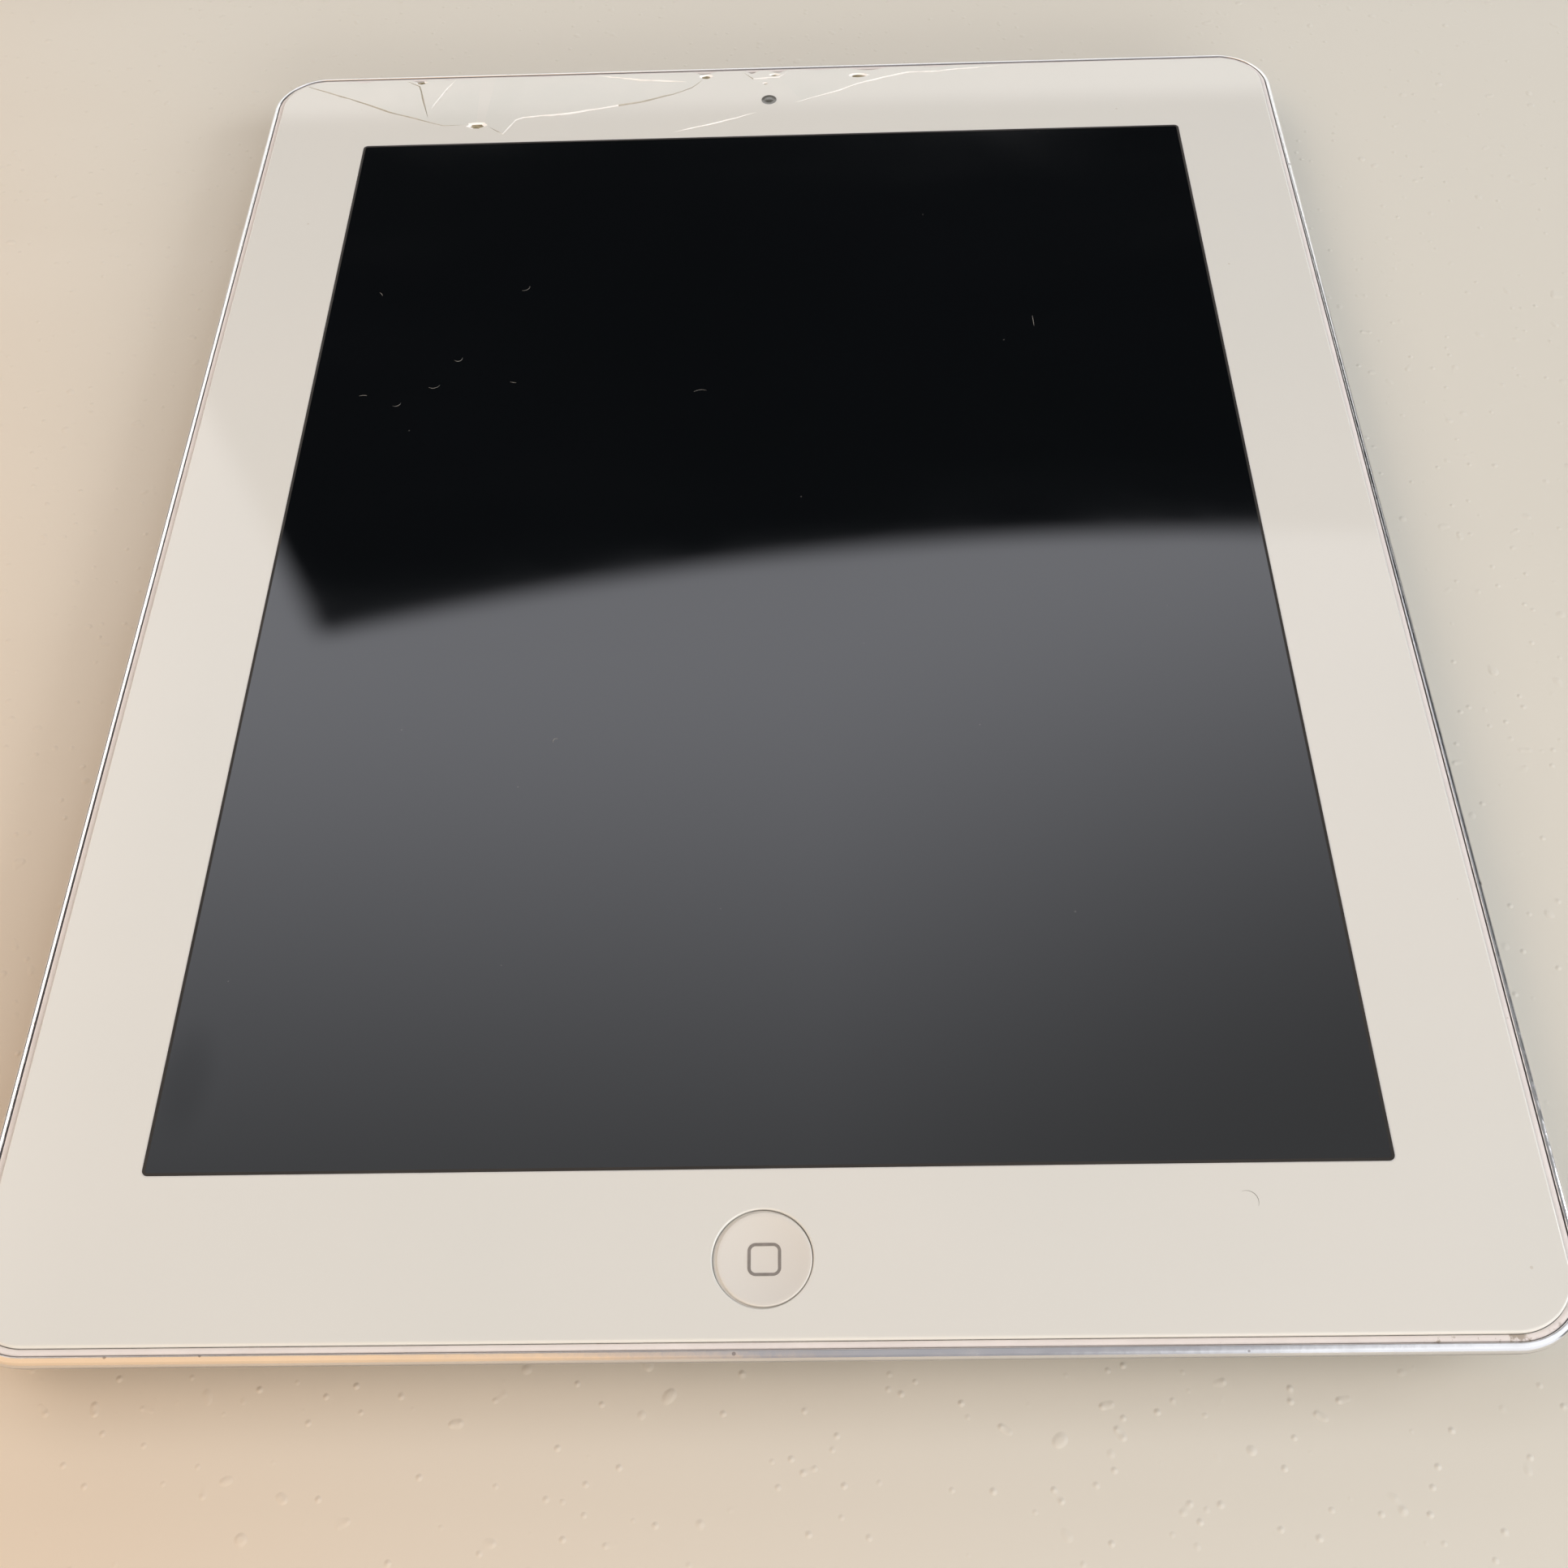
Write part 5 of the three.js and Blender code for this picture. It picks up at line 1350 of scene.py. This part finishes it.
# From here on the lengths are metres.
table = {"size": 6.0, "warm": (0.71, 0.575, 0.43), "cool": (0.655, 0.645, 0.585),
         "warmSlant": 0.6, "warmToCool": (-0.26, 0.0),     # painted warm light: the warm half is at the front left, painted warmer where warm light falls, the back right cooler
         "bump": 0.08, "bumpScale": 400.0, "bumpSize": 0.2}     # the bump's height is in millimetres


def makeTable():
    half = table["size"] / 2 / mm
    floor = makePiece("tableTop", [(-half, -half, -0.01), (half, -half, -0.01), (half, half, -0.01),
                                   (-half, half, -0.01)], [(0, 1, 2, 3)], [])
    material = bpy.data.materials.new("tablePaint")
    material.use_nodes = True
    tree = material.node_tree
    shader = tree.nodes["Principled BSDF"]
    # Painted light: the table's colour runs from warm at the front left to cool at the back right, standing
    # in for warm light from the left and cool light from the right.
    x, y = objectXY(tree)
    lean = calculate(tree, "ADD", x, calculate(tree, "MULTIPLY", y, table["warmSlant"]))
    side = mapRange(tree, lean, *table["warmToCool"], smooth=True)
    colour = mixColour(tree, side, (*table["warm"], 1), (*table["cool"], 1))
    tree.links.new(colour, shader.inputs["Base Color"])
    smear = useGroup(tree, smearGroup, Low=0.45, High=0.6, Scale=12.0)
    tree.links.new(smear.outputs["Roughness"], shader.inputs["Roughness"])
    bumps = addNode(tree, "ShaderNodeTexVoronoi", {"Vector": objectSpot(tree),
                                                   "Scale": table["bumpScale"]}, feature="SMOOTH_F1")
    dots = mapRange(tree, bumps.outputs["Distance"], 0.0, table["bumpSize"], 1.0, 0.0, smooth=True)
    bumpFrom(tree, shader, dots, table["bump"])
    floor.data.materials.append(material)


frontWall = {
    "away": 1.6,               # in front of the tablet, seen only in its polished rim
    "halfWidth": 2.4,
    "height": 1.15,
    "tan": (0.95, 0.66, 0.42),
    "grey": (0.40, 0.39, 0.41),
    "white": (1.05, 1.06, 1.10),
    "strength": 1.0,
    "tanToGrey": (-0.28, 0.0),
    "greyToWhite": (0.22, 0.52),
}
backWall = {"away": 2.65, "halfWidth": 2.4, "height": 0.98, "cream": (1.0, 0.99, 0.97)}


def frontTint(tree, x):
    left = mapRange(tree, x, *frontWall["tanToGrey"], smooth=True)
    right = mapRange(tree, x, *frontWall["greyToWhite"], smooth=True)
    low = mixColour(tree, left, (*frontWall["tan"], 1), (*frontWall["grey"], 1))
    return mixColour(tree, right, low, (*frontWall["white"], 1))


ceiling = {
    "height": 1.0,
    "halfX": 2.2,
    "lowY": -1.6,
    "highY": 2.6,
    "bright": (0.95, 0.96, 1.03),
    "dim": (0.26, 0.26, 0.265),
    "strength": 1.15,
    "lean": 0.40,              # the right half darkens sooner towards the front
    "glow": (1.75, 1.55, 1.40),
    "archY": 0.90,             # near edge of the dark card, at its highest
    "archX": 0.30,
    "archBend": 0.19,
    "leftEdge": -0.44,
    "softness": 0.02,
    "dark": 0.006,
    "darkEnd": 1.53,
    "far": (1.15, 1.15, 1.13),
    "endSoftness": 0.05,
    "dimToBright": (0.15, 0.80),
    "plainToGlow": (-0.50, -0.72),
    "backToFront": (0.12, -0.05),
    "leftPivotY": 0.8,         # the dark card's left edge turns about here
    "leftSlant": 0.53,
}


def emissionCard(name, corners, build):
    card = makePiece(name, corners, [(0, 1, 2, 3)], [])
    material = bpy.data.materials.new(name + "Light")
    material.use_nodes = True
    tree = material.node_tree
    tree.nodes.remove(tree.nodes["Principled BSDF"])
    emit = tree.nodes.new("ShaderNodeEmission")
    tree.links.new(emit.outputs["Emission"], tree.nodes["Material Output"].inputs["Surface"])
    build(tree, emit)
    card.data.materials.append(material)
    card.visible_camera = False
    return card


def paintCeiling(tree, emit):
    x, y = objectXY(tree)
    rightHalf = calculate(tree, "MAXIMUM", x, 0.0)
    lean = calculate(tree, "SUBTRACT", y, calculate(tree, "MULTIPLY", rightHalf, ceiling["lean"]))
    rise = mapRange(tree, lean, *ceiling["dimToBright"], smooth=True)
    evened = mixColour(tree, rise, (*ceiling["dim"], 1), (*ceiling["bright"], 1))
    glow = mapRange(tree, x, *ceiling["plainToGlow"], smooth=True)
    backHalf = mixColour(tree, glow, evened, (*ceiling["glow"], 1))
    front = mapRange(tree, y, *ceiling["backToFront"], smooth=True)
    colour = mixColour(tree, front, backHalf, frontTint(tree, x))
    side = calculate(tree, "SUBTRACT", x, ceiling["archX"])
    bend = calculate(tree, "MULTIPLY", calculate(tree, "MULTIPLY", side, side), -ceiling["archBend"])
    edge = calculate(tree, "ADD", bend, ceiling["archY"])
    beyond = calculate(tree, "SUBTRACT", y, edge)
    soft = ceiling["softness"]
    pastEdge = mapRange(tree, beyond, -soft, soft, smooth=True)
    upwards = calculate(tree, "SUBTRACT", y, ceiling["leftPivotY"])
    slant = calculate(tree, "ADD", x, calculate(tree, "MULTIPLY", upwards, ceiling["leftSlant"]))
    pastLeft = mapRange(tree, slant, ceiling["leftEdge"] - soft, ceiling["leftEdge"] + soft,
                        smooth=True)
    beforeEnd = mapRange(tree, y, ceiling["darkEnd"], ceiling["darkEnd"] + ceiling["endSoftness"],
                         1.0, 0.0, smooth=True)
    colour = mixColour(tree, beforeEnd, (*ceiling["far"], 1), colour)
    dark = calculate(tree, "MULTIPLY", calculate(tree, "MULTIPLY", pastEdge, pastLeft), beforeEnd)
    shade = mixColour(tree, dark, colour, (ceiling["dark"],) * 3 + (1,))
    tree.links.new(shade, emit.inputs["Color"])
    emit.inputs["Strength"].default_value = ceiling["strength"]


def makeCeiling():
    height = ceiling["height"] / mm
    wide = ceiling["halfX"] / mm
    low, high = ceiling["lowY"] / mm, ceiling["highY"] / mm
    corners = [(-wide, low, height), (-wide, high, height), (wide, high, height), (wide, low, height)]
    emissionCard("ceilingCard", corners, paintCeiling)


def paintFrontWall(tree, emit):
    tree.links.new(frontTint(tree, objectXY(tree)[0]), emit.inputs["Color"])
    emit.inputs["Strength"].default_value = frontWall["strength"]


def paintBackWall(tree, emit):
    emit.inputs["Color"].default_value = (*backWall["cream"], 1)


def makeWall(name, wall, y, paint):
    wide, tall = wall["halfWidth"] / mm, wall["height"] / mm
    side = wide if y > 0 else -wide            # both walls face the tablet
    y = y / mm
    emissionCard(name, [(side, y, 1), (side, y, tall), (-side, y, tall), (-side, y, 1)], paint)


lamps = {
    "windowLamp": {"place": (1.6, 0.0, 0.70), "size": (0.9, 0.7), "power": 11.5,
                   "colour": (0.97, 0.98, 1.0), "glossy": True},
    "frontLamp": {"place": (0.55, -1.25, 0.38), "size": (1.4, 0.3), "power": 10.5,
                  "colour": (1.0, 0.95, 0.88), "glossy": False},
}


def makeLamps():
    for name, lamp in lamps.items():
        data = bpy.data.lights.new(name, "AREA")
        data.shape = "RECTANGLE"
        data.size, data.size_y = lamp["size"]
        data.energy = lamp["power"]
        data.color = lamp["colour"]
        light = addObject(name, data)
        light.location = lamp["place"]
        light.rotation_euler = (-Vector(lamp["place"])).to_track_quat("-Z", "Y").to_euler()
        light.visible_camera = False
        light.visible_glossy = lamp["glossy"]


sky = {"colour": (0.84, 0.83, 0.82), "strength": 0.27}


def makeSky():
    world = bpy.data.worlds.new("studio")
    world.use_nodes = True
    back = world.node_tree.nodes["Background"]
    back.inputs["Color"].default_value = (*sky["colour"], 1)
    back.inputs["Strength"].default_value = sky["strength"]
    bpy.context.scene.world = world
    bpy.context.scene.view_settings.view_transform = "Standard"


makeTable()
makeCeiling()
makeWall("frontCard", frontWall, -frontWall["away"], paintFrontWall)
makeWall("backCard", backWall, backWall["away"], paintBackWall)
makeLamps()
makeSky()
print("stage set")
